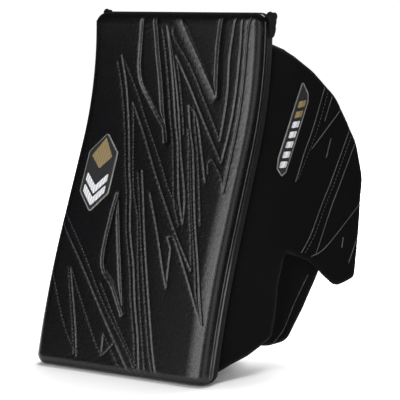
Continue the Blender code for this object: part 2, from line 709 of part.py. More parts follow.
def main():
    clear_scene()
    looks = {
        "leather": material("black_leather", (0.016, 0.016, 0.019), 0.42),
        "suede": material("black_suede", (0.012, 0.012, 0.013), 0.85),
        "lining": material("grey_mesh_lining", (0.035, 0.035, 0.04), 0.9),
        "foam": material("grey_foam", (0.12, 0.12, 0.13), 0.95),
        "plastic": material("board_plastic", (0.03, 0.03, 0.03), 0.5),
        "binding": material("black_binding", (0.01, 0.01, 0.011), 0.7),
        "palm": material("palm_leather", (0.05, 0.05, 0.055), 0.65),
        "grip": material("grip_patch", (0.02, 0.02, 0.02), 0.8),
        "loop": material("loop_tape", (0.015, 0.015, 0.015), 0.95),
        "hook": material("hook_tape", (0.02, 0.02, 0.02), 0.6),
        "webbing": material("strap_webbing", (0.02, 0.02, 0.022), 0.8),
        "steel": material("black_steel", (0.05, 0.05, 0.05), 0.35, 1.0),
        "lace": material("lace_cord", (0.02, 0.02, 0.02), 0.8),
        "emblem": material("emblem_gold", (0.6, 0.36, 0.08), 0.6),
        "badge": material("badge_grey", (0.2, 0.2, 0.21), 0.6),
    }
    make_board(looks)
    make_wall(looks)
    make_flap(looks)
    make_guard(looks)
    make_glove(looks)
    make_fingers(looks)
    make_thumb(looks)
    make_cuff(looks)
    make_strap(looks)
    make_lacing(looks)


main()
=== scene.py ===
"""Goalie blocker for the right hand: leather face with a quilted burst, suede side wall and thumb flap,
finger guard, glove, cuff and wrist strap, on a plain studio floor.

Shapes are laid out in millimetres in board coordinates: x across, n behind the face, s along the bent
board from its lower end. bend() turns them into places in the frame, and new_piece() into metres.
"""
from math import cos, pi, radians, sin, sqrt, tan

import bmesh
import bpy
import numpy as np
from bpy.props import FloatProperty, FloatVectorProperty, PointerProperty
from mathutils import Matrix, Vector
from mathutils.geometry import delaunay_2d_cdt


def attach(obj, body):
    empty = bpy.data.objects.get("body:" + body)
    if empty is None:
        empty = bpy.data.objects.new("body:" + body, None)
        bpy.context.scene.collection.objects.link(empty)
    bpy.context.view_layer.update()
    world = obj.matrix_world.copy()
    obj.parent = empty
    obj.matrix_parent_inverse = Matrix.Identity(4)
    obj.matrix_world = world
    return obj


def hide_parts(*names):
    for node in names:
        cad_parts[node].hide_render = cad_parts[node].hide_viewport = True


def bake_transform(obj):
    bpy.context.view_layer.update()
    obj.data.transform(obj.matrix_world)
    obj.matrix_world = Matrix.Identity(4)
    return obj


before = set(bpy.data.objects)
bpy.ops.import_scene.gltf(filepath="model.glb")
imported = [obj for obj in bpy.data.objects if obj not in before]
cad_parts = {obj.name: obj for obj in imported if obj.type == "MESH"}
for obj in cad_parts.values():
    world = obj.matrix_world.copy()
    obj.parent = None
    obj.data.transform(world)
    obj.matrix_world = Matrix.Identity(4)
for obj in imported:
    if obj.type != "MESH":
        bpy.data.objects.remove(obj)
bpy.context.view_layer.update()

bl_info = {
    "name": "Goalie Blocker",
    "version": (1, 0, 0),
    "blender": (4, 5, 0),
    "location": "View3D > Sidebar > Blocker",
    "description": "Makes the covers, stitching and fittings of a goalie blocker round its frame",
    "category": "Object",
}

MM = 0.001
SHARP_ANGLE = radians(62.0)

# ---- the board's shape, in millimetres ------------------------------------------------------------
BOARD_WIDTH = 203.0
BOARD_LENGTH = 381.0
FOOT_LEAN = radians(15.2)
WAIST_LEAN = radians(25.7)
TOP_LEAN = radians(-1.4)
FOOT_STRAIGHT = 12.0
WAIST_START = 152.0
WAIST_END = 242.0
FOOT_FADE = 60.0
FOOT_N = 15.5
EDGE_ROLL = 11.0
PLAN_CORNER = 12.0
BOARD_SIDE = 20.0
BACK_FACE = 22.5

WALL_X = 97.0
WALL_N = 27.0
WALL_ANGLE = radians(22.0)
CREASE_X = 106.0
CREASE_LOW = (162.0, 54.0)
CREASE_HIGH = (346.0, 53.0)
FLAP_START_ANGLE = radians(24.0)
FLAP_END_ANGLE = radians(45.0)
FLAP_BEND = 58.0
PANEL_HALF = 5.5

GUARD_X = 91.0
GUARD_N = 62.0
GUARD_ANGLE = radians(28.9)
GUARD_HALF = 4.5

HAND_LEFT = -26.0
HAND_RIGHT = 84.0
PALM_LOW = 142.0
PALM_HIGH = 236.0
PALM_N = 69.5
LEATHER = 2.4

FINGER_RADIUS = 12.6
KNUCKLE_Y = 80.5
KNUCKLE_Z = 101.0
CURL = radians(34.0)
FINGERS = (("index", 70.0, 40.0, 34.0), ("middle", 43.0, 43.0, 37.0),
           ("ring", 16.0, 41.0, 34.0), ("little", -11.0, 36.0, 29.0))
THUMB_RADIUS = 13.6
THUMB_ROOT = (82.0, 60.0, 200.0)
THUMB_END = (96.0, 108.0, 178.0)
THUMB_BASE = 24.0
THUMB_TIP = 20.0

CUFF_X = -42.0
CUFF_SIDE = 48.0
CUFF_TURN = 30.0
CUFF_OUTER = WALL_N + CUFF_SIDE + CUFF_TURN + PANEL_HALF
CUFF_BACK = CUFF_OUTER + 3.5
STRAP_X = 84.0
STRAP_N = 99.0
STRAP_RISE = 74.0
STRAP_END = -16.0
STRAP_MIDDLE = 262.0
EYELET_X = -38.0
EYELET_ROWS = (154.0, 178.0, 202.0, 226.0)

SPANS = (
    (FOOT_STRAIGHT, 0.0),
    (WAIST_START - FOOT_STRAIGHT, WAIST_LEAN - FOOT_LEAN),
    (WAIST_END - WAIST_START, 0.0),
    (BOARD_LENGTH - WAIST_END, TOP_LEAN - WAIST_LEAN),
)

# ---- the quilting of the face, as (x, s) ---------------------------------------------------------
CHANNELS = (                    # pressed channels: depth, reach to the left and right, points
    (1.5, 3.6, 2.6, ((-38, 384), (-39, 320), (-20, 287), (0, 262), (5, 246))),
    (2.0, 3.2, 4.5, ((-24, 384), (-19, 342), (-13, 312), (-6, 280), (0, 262), (5, 246))),
    (1.2, 9.0, 3.2, ((4, 384), (14, 362), (22, 348), (41, 316), (54, 296))),
    (1.6, 2.6, 5.5, ((56, 384), (52, 350), (52, 320), (54, 296))),
    (1.6, 2.8, 4.0, ((-38, 186), (-39, 160), (-37, 112), (-20, 90), (-3, 62))),
    (1.5, 3.4, 3.0, ((-37, 184), (-27, 150), (-16, 112), (-8, 82), (-3, 62))),
)
CORDED = (                      # piped seams: a cord lies in a narrow groove
    ((-9, 368), (0, 320), (10, 275), (20, 243), (30, 205), (36, 185), (46, 160)),
    ((46, 160), (41, 190), (24, 240), (12, 285), (-9, 368)),
    ((67, 250), (67, 300), (66, 340), (72, 384)),
    ((3, 337), (20, 310), (40, 277), (60, 247), (74, 227), (76, 270), (77, 330), (79, 384)),
    ((88, 384), (84, 350), (83, 250), (83, 197)),
    ((61, 205), (50, 235), (35, 275), (24, 286)),
    ((24, 286), (31, 260), (40, 235), (53, 187), (60, 162), (73, 120), (82, 85), (88, 62)),
    ((-43, 286), (-25, 256), (0, 213), (20, 181), (40, 150), (66, 114)),
    ((-63, 336), (-55, 308), (-45, 268), (-30, 212), (-23, 190), (-13, 150), (0, 113), (10, 75),
     (20, 40), (27, 2)),
    ((-15, 213), (-8, 190), (0, 163), (10, 130), (20, 97), (30, 62), (40, 25), (48, 0)),
    ((42, 94), (38, 135), (32, 145), (38, 147), (60, 112), (80, 75), (88, 62)),
    ((0, 190), (20, 147), (35, 110), (42, 94)),
    ((-96, 150), (-60, 106), (-20, 52), (0, 25), (18, 0)),
    ((-49, 14), (-57, 50), (-74, 104)),
    ((-8, 32), (-14, 24), (-20, 18), (-21, 40)),
)
DOTTED = (                      # plain stitched rows
    ((-2, 365), (0, 355), (20, 328), (40, 294), (60, 262), (67, 250)),
    ((-15, 366), (-6, 320), (4, 275), (14, 243), (24, 205), (31, 180), (42, 158)),
    ((5, 330), (10, 310), (15, 290), (24, 255)),
    ((83, 197), (79, 208), (70, 222), (62, 230), (59, 226), (62, 214)),
    ((27, 262), (36, 235), (49, 187), (56, 162), (69, 120), (78, 85), (86, 64)),
    ((30, 286), (36, 262), (45, 235), (58, 190), (66, 160)),
    ((66, 114), (60, 140), (50, 175), (40, 212), (28, 262)),
    ((-43, 286), (-34, 245), (-21, 195), (-7, 160), (6, 110), (26, 35), (33, 6)),
    ((-68, 330), (-60, 303), (-50, 266), (-35, 211), (-28, 190), (-18, 150), (-5, 113), (5, 75),
     (15, 40), (22, 4)),
    ((-60, 332), (-40, 298), (-25, 270), (5, 222), (20, 197), (37, 175)),
    ((-20, 211), (-13, 190), (-5, 163), (5, 130), (15, 97), (25, 62), (35, 25), (43, 3)),
    ((-96, 162), (-60, 118), (-30, 75), (10, 25), (24, 2)),
    ((-35, 92), (0, 42), (30, 2)),
    ((-98, 96), (-91, 88), (-70, 45), (-50, 15)),
    ((-53, 16), (-61, 50), (-77, 104)),
    ((-74, 104), (-50, 65), (-30, 32), (-20, 18)),
    ((-21, 40), (0, 12), (8, 1)),
)
WING_LINES = (                  # the burst on the thumb flap, as (distance from the crease, s)
    (True, ((49, 323), (42, 285), (36, 262), (31, 235))),
    (False, ((54, 321), (47, 284), (40, 260), (33, 238))),
    (True, ((59, 315), (54, 292))),
    (True, ((72, 306), (44, 267))),
    (True, ((64, 279), (62, 263))),
    (True, ((84, 292), (67, 229), (58, 187), (50, 165))),
    (False, ((87, 288), (71, 229), (62, 187), (54, 165))),
    (True, ((92, 282), (78, 231), (67, 170))),
    (True, ((108, 235), (77, 180), (62, 165))),
    (True, ((94, 194), (94, 183))),
    (True, ((110, 201), (104, 170))),
)


# ---- settings ---------------------------------------------------------------------------------------
class BlockerSettings(bpy.types.PropertyGroup):
    face_colour: FloatVectorProperty(name="Face colour", description="Colour of the leather face",
                                     subtype="COLOR", size=3, default=(0.0021, 0.0020, 0.0026))
    suede_colour: FloatVectorProperty(name="Suede colour", description="Colour of the side wall and flap",
                                      subtype="COLOR", size=3, default=(0.0019, 0.0019, 0.0022))
    palm_colour: FloatVectorProperty(name="Palm colour", description="Colour of the palm leather",
                                     subtype="COLOR", size=3, default=(0.04, 0.04, 0.044))
    thread_colour: FloatVectorProperty(name="Thread colour", description="Colour of the seams' thread",
                                       subtype="COLOR", size=3, default=(0.075, 0.075, 0.08))
    gold_colour: FloatVectorProperty(name="Gold colour", description="Colour of the patches' gold thread",
                                     subtype="COLOR", size=3, default=(0.26, 0.19, 0.085))
    groove_depth: FloatProperty(name="Seam depth", description="How far a seam sinks into the face",
                                default=0.00055, min=0.0, max=0.002, unit="LENGTH")
    stitch_length: FloatProperty(name="Stitch length", description="Length of one stitch",
                                 default=0.0026, min=0.001, max=0.006, unit="LENGTH")
    mesh_size: FloatProperty(name="Mesh size", description="Distance between points on the face",
                             default=0.0008, min=0.0006, max=0.004, unit="LENGTH")


def settings():
    return bpy.context.scene.blocker


# ---- the board's bend, on arrays --------------------------------------------------------------------
def spine(s):
    """Y, Z and lean of the face's middle line at the arc lengths s."""
    s = np.asarray(s, float)
    y = np.full(s.shape, -FOOT_N / cos(FOOT_LEAN))
    z = np.zeros(s.shape)
    lean = np.full(s.shape, FOOT_LEAN)
    start = 0.0
    for index, (length, turn) in enumerate(SPANS):
        lowest = -np.inf if index == 0 else 0.0
        highest = np.inf if index == len(SPANS) - 1 else length
        run = np.clip(s - start, lowest, highest)
        if turn == 0.0:
            y = y + run * np.sin(lean)
            z = z + run * np.cos(lean)
        else:
            radius = length / turn
            after = lean + run / radius
            y = y + radius * (np.cos(lean) - np.cos(after))
            z = z + radius * (np.sin(after) - np.sin(lean))
            lean = after
        start += length
    return y, z, lean


def bend(x, n, s):
    """World places, in millimetres, of points in board coordinates."""
    y, z, lean = spine(s)
    x, n = np.asarray(x, float), np.asarray(n, float)
    return np.stack(np.broadcast_arrays(x, y + n * np.cos(lean), z - n * np.sin(lean)), -1)


def board(x, s, n):
    """As bend, with the board's lower end cut level to stand on the floor."""
    s = np.asarray(s, float)
    level = n * tan(FOOT_LEAN) * np.maximum(0.0, 1.0 - s / FOOT_FADE)
    return bend(x, n, s + level)


def wall(n, s, t):
    """Side wall, t outwards from its middle."""
    n = np.asarray(n, float)
    x = WALL_X + (n - WALL_N) * tan(WALL_ANGLE)
    return bend(x + t * cos(WALL_ANGLE), n - t * sin(WALL_ANGLE), s)


CREASE_A = bend(CREASE_X, CREASE_LOW[1], CREASE_LOW[0])
CREASE_B = bend(CREASE_X, CREASE_HIGH[1], CREASE_HIGH[0])


def crease_n(s):
    """n of the flap's straight hinge line, seen from the bent board at s."""
    y, z, lean = spine(s)
    along = (CREASE_B - CREASE_A) / np.linalg.norm(CREASE_B - CREASE_A)
    across = (CREASE_A[1] - y) * along[2] - (CREASE_A[2] - z) * along[1]
    return across / (np.cos(lean) * along[2] + np.sin(lean) * along[1])


def flap(w, s, t):
    """Thumb flap, which curves away from the crease. w is the distance from the crease."""
    w = np.asarray(w, float)
    rate = (FLAP_END_ANGLE - FLAP_START_ANGLE) / FLAP_BEND
    angle = FLAP_START_ANGLE + rate * np.minimum(w, FLAP_BEND)
    straight = np.maximum(0.0, w - FLAP_BEND)
    x = (cos(FLAP_START_ANGLE) - np.cos(angle)) / rate + straight * np.sin(angle) + t * np.cos(angle)
    n = (np.sin(angle) - sin(FLAP_START_ANGLE)) / rate + straight * np.cos(angle) - t * np.sin(angle)
    return bend(CREASE_X + x, crease_n(s) + n, s)


def wing(w, s, t):
    """Side wall and thumb flap as one smooth surface. w is less than 0 on the wall's side."""
    w = np.asarray(w, float)
    on_wall = wall(crease_n(s) + w * cos(WALL_ANGLE), s, t)
    on_flap = flap(w, s, t)
    part = np.clip((w + 14.0) / 28.0, 0.0, 1.0)
    part = (part * part * (3.0 - 2.0 * part))[..., None]
    return on_wall * (1.0 - part) + on_flap * part


def guard(w, s, t):
    """Finger guard. w is the distance from its root."""
    w = np.asarray(w, float)
    x = GUARD_X + w * sin(GUARD_ANGLE) + t * cos(GUARD_ANGLE)
    return bend(x, GUARD_N + w * cos(GUARD_ANGLE) - t * sin(GUARD_ANGLE), s)


def cuff(w, s, t):
    """Cuff: straight back from the board, then round the wrist and across it."""
    w = np.asarray(w, float)
    turned = np.minimum(np.maximum(w - CUFF_SIDE, 0.0) / CUFF_TURN, pi / 2)
    x = CUFF_X + CUFF_TURN * (1.0 - np.cos(turned)) - t * np.cos(turned)
    n = WALL_N + np.minimum(w, CUFF_SIDE) + (CUFF_TURN + t) * np.sin(turned)
    return bend(x + np.maximum(0.0, w - CUFF_SIDE - CUFF_TURN * pi / 2), n, s)


def strap(x, s, t):
    """Wrist strap, which rises from its sewn end to the cuff."""
    x = np.asarray(x, float)
    part = np.clip((STRAP_X - x) / STRAP_RISE, 0.0, 1.0)
    return bend(x, STRAP_N + (CUFF_BACK - STRAP_N) * np.sin(part * pi / 2) + t, s)


def gusset(n, s, t):
    """Flat side panel at x = t."""
    return bend(t, n, s)


def back_layer(x, s, t):
    """Layer parallel to the board at n = t."""
    return bend(x, t, s)


def front_layer(x, s, t):
    """Layer on the face, t in front of it."""
    return board(x, s, -t)


def facing(s, side):
    """Unit vectors square to the board at s. side is 1 for its back and -1 for its front."""
    lean = spine(s)[2]
    return side * np.stack((np.zeros(len(lean)), np.cos(lean), -np.sin(lean)), -1)


# ---- outlines and lines -----------------------------------------------------------------------------
def outline(corners, size=2.0):
    """Points of a closed outline from corners (a, b, radius), about size apart."""
    points = []
    for i, (a, b, radius) in enumerate(corners):
        here = np.array((a, b), float)
        back = np.array(corners[i - 1][:2], float) - here
        ahead = np.array(corners[(i + 1) % len(corners)][:2], float) - here
        back, ahead = back / np.linalg.norm(back), ahead / np.linalg.norm(ahead)
        if radius == 0.0:
            points.append(here)
            continue
        half = np.arccos(np.clip(back @ ahead, -1.0, 1.0)) / 2
        centre = here + (back + ahead) / np.linalg.norm(back + ahead) * radius / sin(half)
        first = here + back * radius / tan(half) - centre
        side = 1.0 if back[0] * ahead[1] - back[1] * ahead[0] < 0.0 else -1.0
        turn = pi - 2 * half
        count = max(2, round(turn * radius / size))
        for k in range(count + 1):
            angle = side * turn * k / count
            points.append(centre + (first[0] * cos(angle) - first[1] * sin(angle),
                                    first[0] * sin(angle) + first[1] * cos(angle)))
    return divided(points + [points[0]], size)[:-1]


def divided(points, size):
    """The same line with points no more than about size apart."""
    points = [np.array(p, float) for p in points]
    result = [points[0]]
    for here, there in zip(points, points[1:]):
        count = max(1, round(np.linalg.norm(there - here) / size))
        result += [here + (there - here) * k / count for k in range(1, count + 1)]
    return np.array(result)


def curved(points, size=1.5):
    """Smooth line through a few points, about size apart."""
    points = np.array(points, float)
    if len(points) == 2:
        return divided(points, size)
    run = np.vstack((points[0] * 2 - points[1], points, points[-1] * 2 - points[-2]))
    result = []
    for a, b, c, d in zip(run, run[1:], run[2:], run[3:]):
        sharp = np.dot(c - b, b - a) < 0 or np.dot(d - c, c - b) < 0
        count = max(1, round(np.linalg.norm(c - b) / size))
        for k in range(count):
            t = k / count
            if sharp:
                result.append(b + (c - b) * t)
                continue
            bow = (3 * b - a - 3 * c + d) * t ** 3 + (2 * a - 5 * b + 4 * c - d) * t ** 2 + (c - a) * t
            result.append(b + bow / 2)
    return np.array(result + [run[-2]])


def distance_to(points, line, closed=False):
    """Distance from each point to a line of points."""
    line = np.asarray(line, float)
    ends = np.roll(line, -1, axis=0) if closed else line[1:]
    nearest = np.full(len(points), np.inf)
    for a, b in zip(line if closed else line[:-1], ends):
        along = b - a
        length = max(along @ along, 1e-12)
        part = np.clip(((points - a) @ along) / length, 0.0, 1.0)
        gap = points - a - part[:, None] * along
        nearest = np.minimum(nearest, np.einsum("ij,ij->i", gap, gap))
    return np.sqrt(nearest)


def rectangle(a0, a1, b0, b1, radius):
    return [(a0, b0, radius), (a1, b0, radius), (a1, b1, radius), (a0, b1, radius)]


def outward(loop):
    """Unit vectors that point out of a closed anticlockwise line."""
    run = np.roll(loop, -1, axis=0) - np.roll(loop, 1, axis=0)
    out = np.stack((run[:, 1], -run[:, 0]), -1)
    return out / np.linalg.norm(out, axis=1)[:, None]


def grown(loop, distance):
    """Closed anticlockwise line with each point moved outwards."""
    return loop + outward(loop) * distance


def ended(loop):
    """A closed line with its first point again at its end."""
    return np.vstack((loop, loop[:1]))


def valley(distance, width):
    """1 on a seam's line, easing to 0 at width away, with a sharp foot."""
    return np.clip(1.0 - distance / width, 0.0, 1.0) ** 1.6


def sunk(lines, depth, width):
    """Relief of a padded surface that sinks along lines."""
    lines = [np.asarray(line, float) for line in lines]

    def relief(points):
        sink = np.zeros(len(points))
        for line in lines:
            sink = np.maximum(sink, depth * valley(distance_to(points, line), width))
        return -sink
    return relief


# ---- making pieces ----------------------------------------------------------------------------------
def new_piece(name, vertices, faces, looks, indices=None):
    """Object from points in millimetres. looks names its materials, and indices picks one for each face."""
    mesh = bpy.data.meshes.new(name)
    places = [tuple(v) for v in np.asarray(vertices, float) * MM]
    mesh.from_pydata(places, [], [tuple(map(int, f)) for f in faces])
    for look in looks:
        mesh.materials.append(LOOKS[look])
    if indices is not None:
        mesh.polygons.foreach_set("material_index", np.asarray(indices, np.int32))
    mesh.shade_smooth()
    mesh.update()
    piece = bpy.data.objects.new(name, mesh)
    bpy.context.collection.objects.link(piece)
    return piece


def fit(piece, nodes, body):
    """Hides the parts of the frame that a piece stands for, and hangs it on the body it rides."""
    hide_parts(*nodes)
    if body:
        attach(piece, body)


def turned_out(piece):
    """Faces of a closed mesh turned outwards, with its sharp corners kept."""
    bm = bmesh.new()
    bm.from_mesh(piece.data)
    bmesh.ops.recalc_face_normals(bm, faces=bm.faces)
    bm.to_mesh(piece.data)
    bm.free()
    piece.data.set_sharp_from_angle(angle=SHARP_ANGLE)
    return piece


def joined(name, parts):
    """One object from several."""
    with bpy.context.temp_override(active_object=parts[0], selected_editable_objects=parts, object=parts[0]):
        bpy.ops.object.join()
    parts[0].name = name
    parts[0].data.name = name
    return parts[0]


def filled(loop, size):
    """Points and triangles that fill a closed line. The line's own points come first."""
    loop = np.asarray(loop, float)
    low, high = loop.min(0), loop.max(0)
    grid = np.stack(np.meshgrid(np.arange(low[0] + size / 2, high[0], size),
                                np.arange(low[1] + size / 2, high[1], size)), -1).reshape(-1, 2)
    grid[:, 0] += (np.round((grid[:, 1] - low[1]) / size).astype(int) % 2) * size * 0.5
    grid = grid[winding(grid, loop) & (distance_to(grid, loop, closed=True) > size * 0.55)]
    edges = [(i, (i + 1) % len(loop)) for i in range(len(loop))]
    made = delaunay_2d_cdt([Vector(p) for p in np.vstack((loop, grid))], edges, [], 0, 1e-4)
    places = np.array([tuple(v) for v in made[0]])
    triangles = np.array(made[2])
    return places, triangles[winding(places[triangles].mean(1), loop)]


def winding(points, loop):
    """Which points lie inside a closed line."""
    inside = np.zeros(len(points), bool)
    for a, b in zip(loop, np.roll(loop, -1, axis=0)):
        crosses = (a[1] > points[:, 1]) != (b[1] > points[:, 1])
        slope = (b[0] - a[0]) / (b[1] - a[1] if b[1] != a[1] else 1e-12)
        inside ^= crosses & (points[:, 0] < a[0] + (points[:, 1] - a[1]) * slope)
    return inside


def rounding(depth, edge):
    """Share of a panel's half thickness at depth inside its soft edge."""
    part = np.clip(depth / edge, 0.0, 1.0)
    return 0.12 + 0.88 * np.sqrt(1.0 - (1.0 - part) ** 2)


def sheet(name, loop, place, low, high, looks, size=3.0, edge=1.0, relief=None, free=None):
    """Panel between t = low and t = high on a surface, with softly rounded free edges.

    relief(points) gives how far the upper side sinks or stands. free is a list of the rounded edges;
    without it the whole rim is rounded. looks are the upper side, the rim and the lower side."""
    points, triangles = filled(loop, size)
    sides = {}
    for t in triangles:
        for a, b in ((t[0], t[1]), (t[1], t[2]), (t[2], t[0])):
            sides.setdefault((min(a, b), max(a, b)), []).append((a, b))
    border = [found[0] for found in sides.values() if len(found) == 1]
    depth = distance_to(points, loop, closed=True)
    if free is not None:
        depth = np.min([distance_to(points, line) for line in free], axis=0)
    swell = rounding(depth, edge)
    middle, half = (low + high) / 2, (high - low) / 2
    upper = middle + half * swell
    if relief is not None:
        upper = upper + relief(points)
    lower = middle - half * swell
    a, b = points.T
    vertices = np.vstack((place(a, b, upper), place(a, b, lower)))
    count = len(points)
    faces = [tuple(t) for t in triangles] + [tuple(t[::-1] + count) for t in triangles]
    faces += [(there, here, here + count, there + count) for here, there in border]
    last = len(looks) - 1
    indices = [0] * len(triangles) + [last] * len(triangles) + [min(1, last)] * len(border)
    return turned_out(new_piece(name, vertices, faces, looks, indices))


def strips(rings, sides, closed=False):
    """Faces that join each ring of points to the next."""
    faces = []
    for r in range(rings if closed else rings - 1):
        for k in range(sides):
            after, ring = (k + 1) % sides, (r + 1) % rings * sides
            faces.append((r * sides + k, r * sides + after, ring + after, ring + k))
    return faces


def ends(rings, sides):
    """Faces that close the first and the last ring."""
    return [tuple(range(sides))[::-1], tuple(range((rings - 1) * sides, rings * sides))]


def tube(name, path, radius, look, sides=8, closed=False, taper=None):
    """Round bar along places in millimetres. taper scales its radius at each place."""
    path = np.asarray(path, float)
    if closed:
        ahead = np.roll(path, -1, axis=0) - np.roll(path, 1, axis=0)
    else:
        ahead = np.gradient(path, axis=0)
    ahead /= np.maximum(np.linalg.norm(ahead, axis=1), 1e-9)[:, None]
    guide = np.array((0.13, 0.21, 0.97)) if abs(ahead[0][2]) < 0.9 else np.array((0.97, 0.13, 0.21))
    up = []
    for direction in ahead:
        guide = guide - direction * (guide @ direction)
        guide = guide / np.linalg.norm(guide)
        up.append(guide)
    up = np.array(up)
    side = np.cross(ahead, up)
    size = np.full(len(path), radius) if taper is None else radius * np.asarray(taper)
    vertices = []
    for k in range(sides):
        angle = 2 * pi * k / sides
        vertices.append(path + (side * cos(angle) + up * sin(angle)) * size[:, None])
    vertices = np.stack(vertices, 1).reshape(-1, 3)
    faces = strips(len(path), sides, closed)
    if not closed:
        faces += ends(len(path), sides)
    return turned_out(new_piece(name, vertices, faces, [look]))


STITCH_GAP = 1.3
STITCH_SIDES = 5
STITCH_RINGS = (                # of one stitch: place along it, size, height
    (0.0, 0.35, -0.3), (0.25, 1.0, 1.0), (0.75, 1.0, 1.0), (1.0, 0.35, -0.3),
)


def stitches(name, rows, look, width=0.55, lift=0.25):
    """One mesh of short thread capsules along rows. Each row is (places, outward normals)."""
    length = settings().stitch_length / MM
    run_at, sizes, heights = np.array(STITCH_RINGS).T
    capsule = strips(len(STITCH_RINGS), STITCH_SIDES) + ends(len(STITCH_RINGS), STITCH_SIDES)
    vertices, faces = [], []
    for places, normals in rows:
        steps = np.linalg.norm(np.diff(places, axis=0), axis=1)
        run = np.concatenate(([0.0], np.cumsum(steps)))
        count = int(run[-1] // (length + STITCH_GAP))
        for number in range(count):
            pitch = run[-1] / count
            marks = run_at * (pitch - STITCH_GAP) + number * pitch + STITCH_GAP / 2
            spots = np.stack([np.interp(marks, run, places[:, i]) for i in range(3)], -1)
            out = np.stack([np.interp(marks, run, normals[:, i]) for i in range(3)], -1)
            out = out / np.linalg.norm(out, axis=1)[:, None]
            ahead = spots[-1] - spots[0]
            side = np.cross(out, ahead / np.linalg.norm(ahead))
            start = len(vertices)
            for spot, normal, across, size, height in zip(spots, out, side, sizes, heights):
                for k in range(STITCH_SIDES):
                    angle = 2 * pi * k / STITCH_SIDES
                    reach = (across * cos(angle) + normal * sin(angle)) * width * size
                    vertices.append(spot + normal * lift * height + reach)
            faces += [tuple(start + corner for corner in face) for face in capsule]
    return turned_out(new_piece(name, vertices, faces, [look]))


def row_on(place, line, t):
    """Places and outward normals of a line on a surface, t above it. A long line is used as it is."""
    line = curved(line) if len(line) < 40 else np.asarray(line, float)
    a, b = line.T
    places = place(a, b, t)
    across = place(a + 0.5, b, t) - place(a - 0.5, b, t)
    along = place(a, b + 0.5, t) - place(a, b - 0.5, t)
    normals = np.cross(across, along)
    lifted = place(a, b, t + 0.5) - places
    normals = normals * np.sign(np.einsum("ij,ij->i", normals, lifted))[:, None]
    return places, normals / np.linalg.norm(normals, axis=1)[:, None]


def swept(name, rim, place, section, look):
    """Tape round a closed rim, kept above the floor. section is its outline, as (reach outwards, t)."""
    out = outward(rim)
    rings = [place(*(rim + out * reach).T, t) for reach, t in section]
    vertices = np.stack(rings, 1).reshape(-1, 3)
    vertices[:, 2] = np.maximum(vertices[:, 2], 0.0)
    return turned_out(new_piece(name, vertices, strips(len(rim), len(section), closed=True), [look]))


def binding(name, rim, place, half, look, proud):
    """Tape folded round a panel's edge: a shallow U in section, with its two hems just raised."""
    section = [(-3.6, -half - 0.25), (-2.0, -half - 0.55)]
    for k in range(9):
        angle = pi * (k / 8 - 0.5)
        section.append((proud * cos(angle) - 0.2, (half + 0.35) * sin(angle)))
    section += [(-2.0, half + 0.55), (-3.6, half + 0.25),
                (-3.4, half - 0.5), (-0.8, half - 1.0), (-0.8, 1.0 - half), (-3.4, 0.5 - half)]
    return swept(name, rim, place, section, look)


# ---- shader node groups -----------------------------------------------------------------------------
class Nodes:
    """Short ways to add and join nodes in one tree."""

    def __init__(self, tree):
        self.tree = tree

    def add(self, kind, inputs=None, **options):
        node = self.tree.nodes.new(kind)
        for key, value in options.items():
            setattr(node, key, value)
        for key, value in (inputs or {}).items():
            self.put(node.inputs[key], value)
        return node

    def put(self, socket, value):
        if isinstance(value, bpy.types.NodeSocket):
            self.tree.links.new(value, socket)
        else:
            socket.default_value = value

    def math(self, operation, a, b=0.0, c=0.0):
        node = self.add("ShaderNodeMath", operation=operation)
        for socket, value in zip(node.inputs, (a, b, c)):
            self.put(socket, value)
        return node.outputs[0]

    def ramp(self, factor, stops):
        node = self.add("ShaderNodeValToRGB", {"Fac": factor})
        elements = node.color_ramp.elements
        while len(elements) < len(stops):
            elements.new(0.5)
        for element, (place, value) in zip(elements, stops):
            element.position = place
            element.color = (value, value, value, 1.0)
        return node.outputs["Color"]

    def noise(self, place, scale, detail, **more):
        inputs = {"Vector": place, "Scale": scale, "Detail": detail, **more}
        return self.add("ShaderNodeTexNoise", inputs).outputs["Fac"]

    def mix(self, factor, a, b):
        node = self.add("ShaderNodeMix", data_type="RGBA")
        self.put(node.inputs["Factor"], factor)
        self.put(node.inputs["A"], a)
        self.put(node.inputs["B"], b)
        return node.outputs["Result"]


def group(name, setting, default, outputs, build):
    """Node group made once. It takes places and one value, and gives values that change over the surface."""
    if name in bpy.data.node_groups:
        return bpy.data.node_groups[name]
    tree = bpy.data.node_groups.new(name, "ShaderNodeTree")
    tree.interface.new_socket("Vector", in_out="INPUT", socket_type="NodeSocketVector")
    tree.interface.new_socket(setting, in_out="INPUT", socket_type="NodeSocketFloat").default_value = default
    for label in outputs:
        tree.interface.new_socket(label, in_out="OUTPUT", socket_type="NodeSocketFloat")
    nodes = Nodes(tree)
    given = nodes.add("NodeGroupInput").outputs
    end = nodes.add("NodeGroupOutput")
    for label, value in zip(outputs, build(nodes, given["Vector"], given[setting])):
        nodes.put(end.inputs[label], value)
    return tree


def grain_group():
    """Leather: cells with fine creases, and slow changes of tone."""
    def build(nodes, place, scale):
        cells = nodes.add("ShaderNodeTexVoronoi", {"Vector": place, "Scale": scale},
                          feature="DISTANCE_TO_EDGE")
        creases = nodes.ramp(cells.outputs["Distance"], ((0.0, 0.0), (0.12, 0.85), (0.4, 1.0)))
        fine = nodes.noise(place, nodes.math("MULTIPLY", scale, 2.6), 5.0)
        tone = nodes.noise(place, nodes.math("MULTIPLY", scale, 0.028), 3.0)
        pebble = nodes.noise(place, nodes.math("MULTIPLY", scale, 0.5), 2.0)
        height = nodes.math("ADD", nodes.math("MULTIPLY", creases, 0.5), nodes.math("MULTIPLY", fine, 0.4))
        return nodes.math("ADD", height, nodes.math("MULTIPLY", pebble, 1.6)), tone, fine
    return group("Leather Grain", "Scale", 900.0, ("Height", "Tone", "Fine"), build)


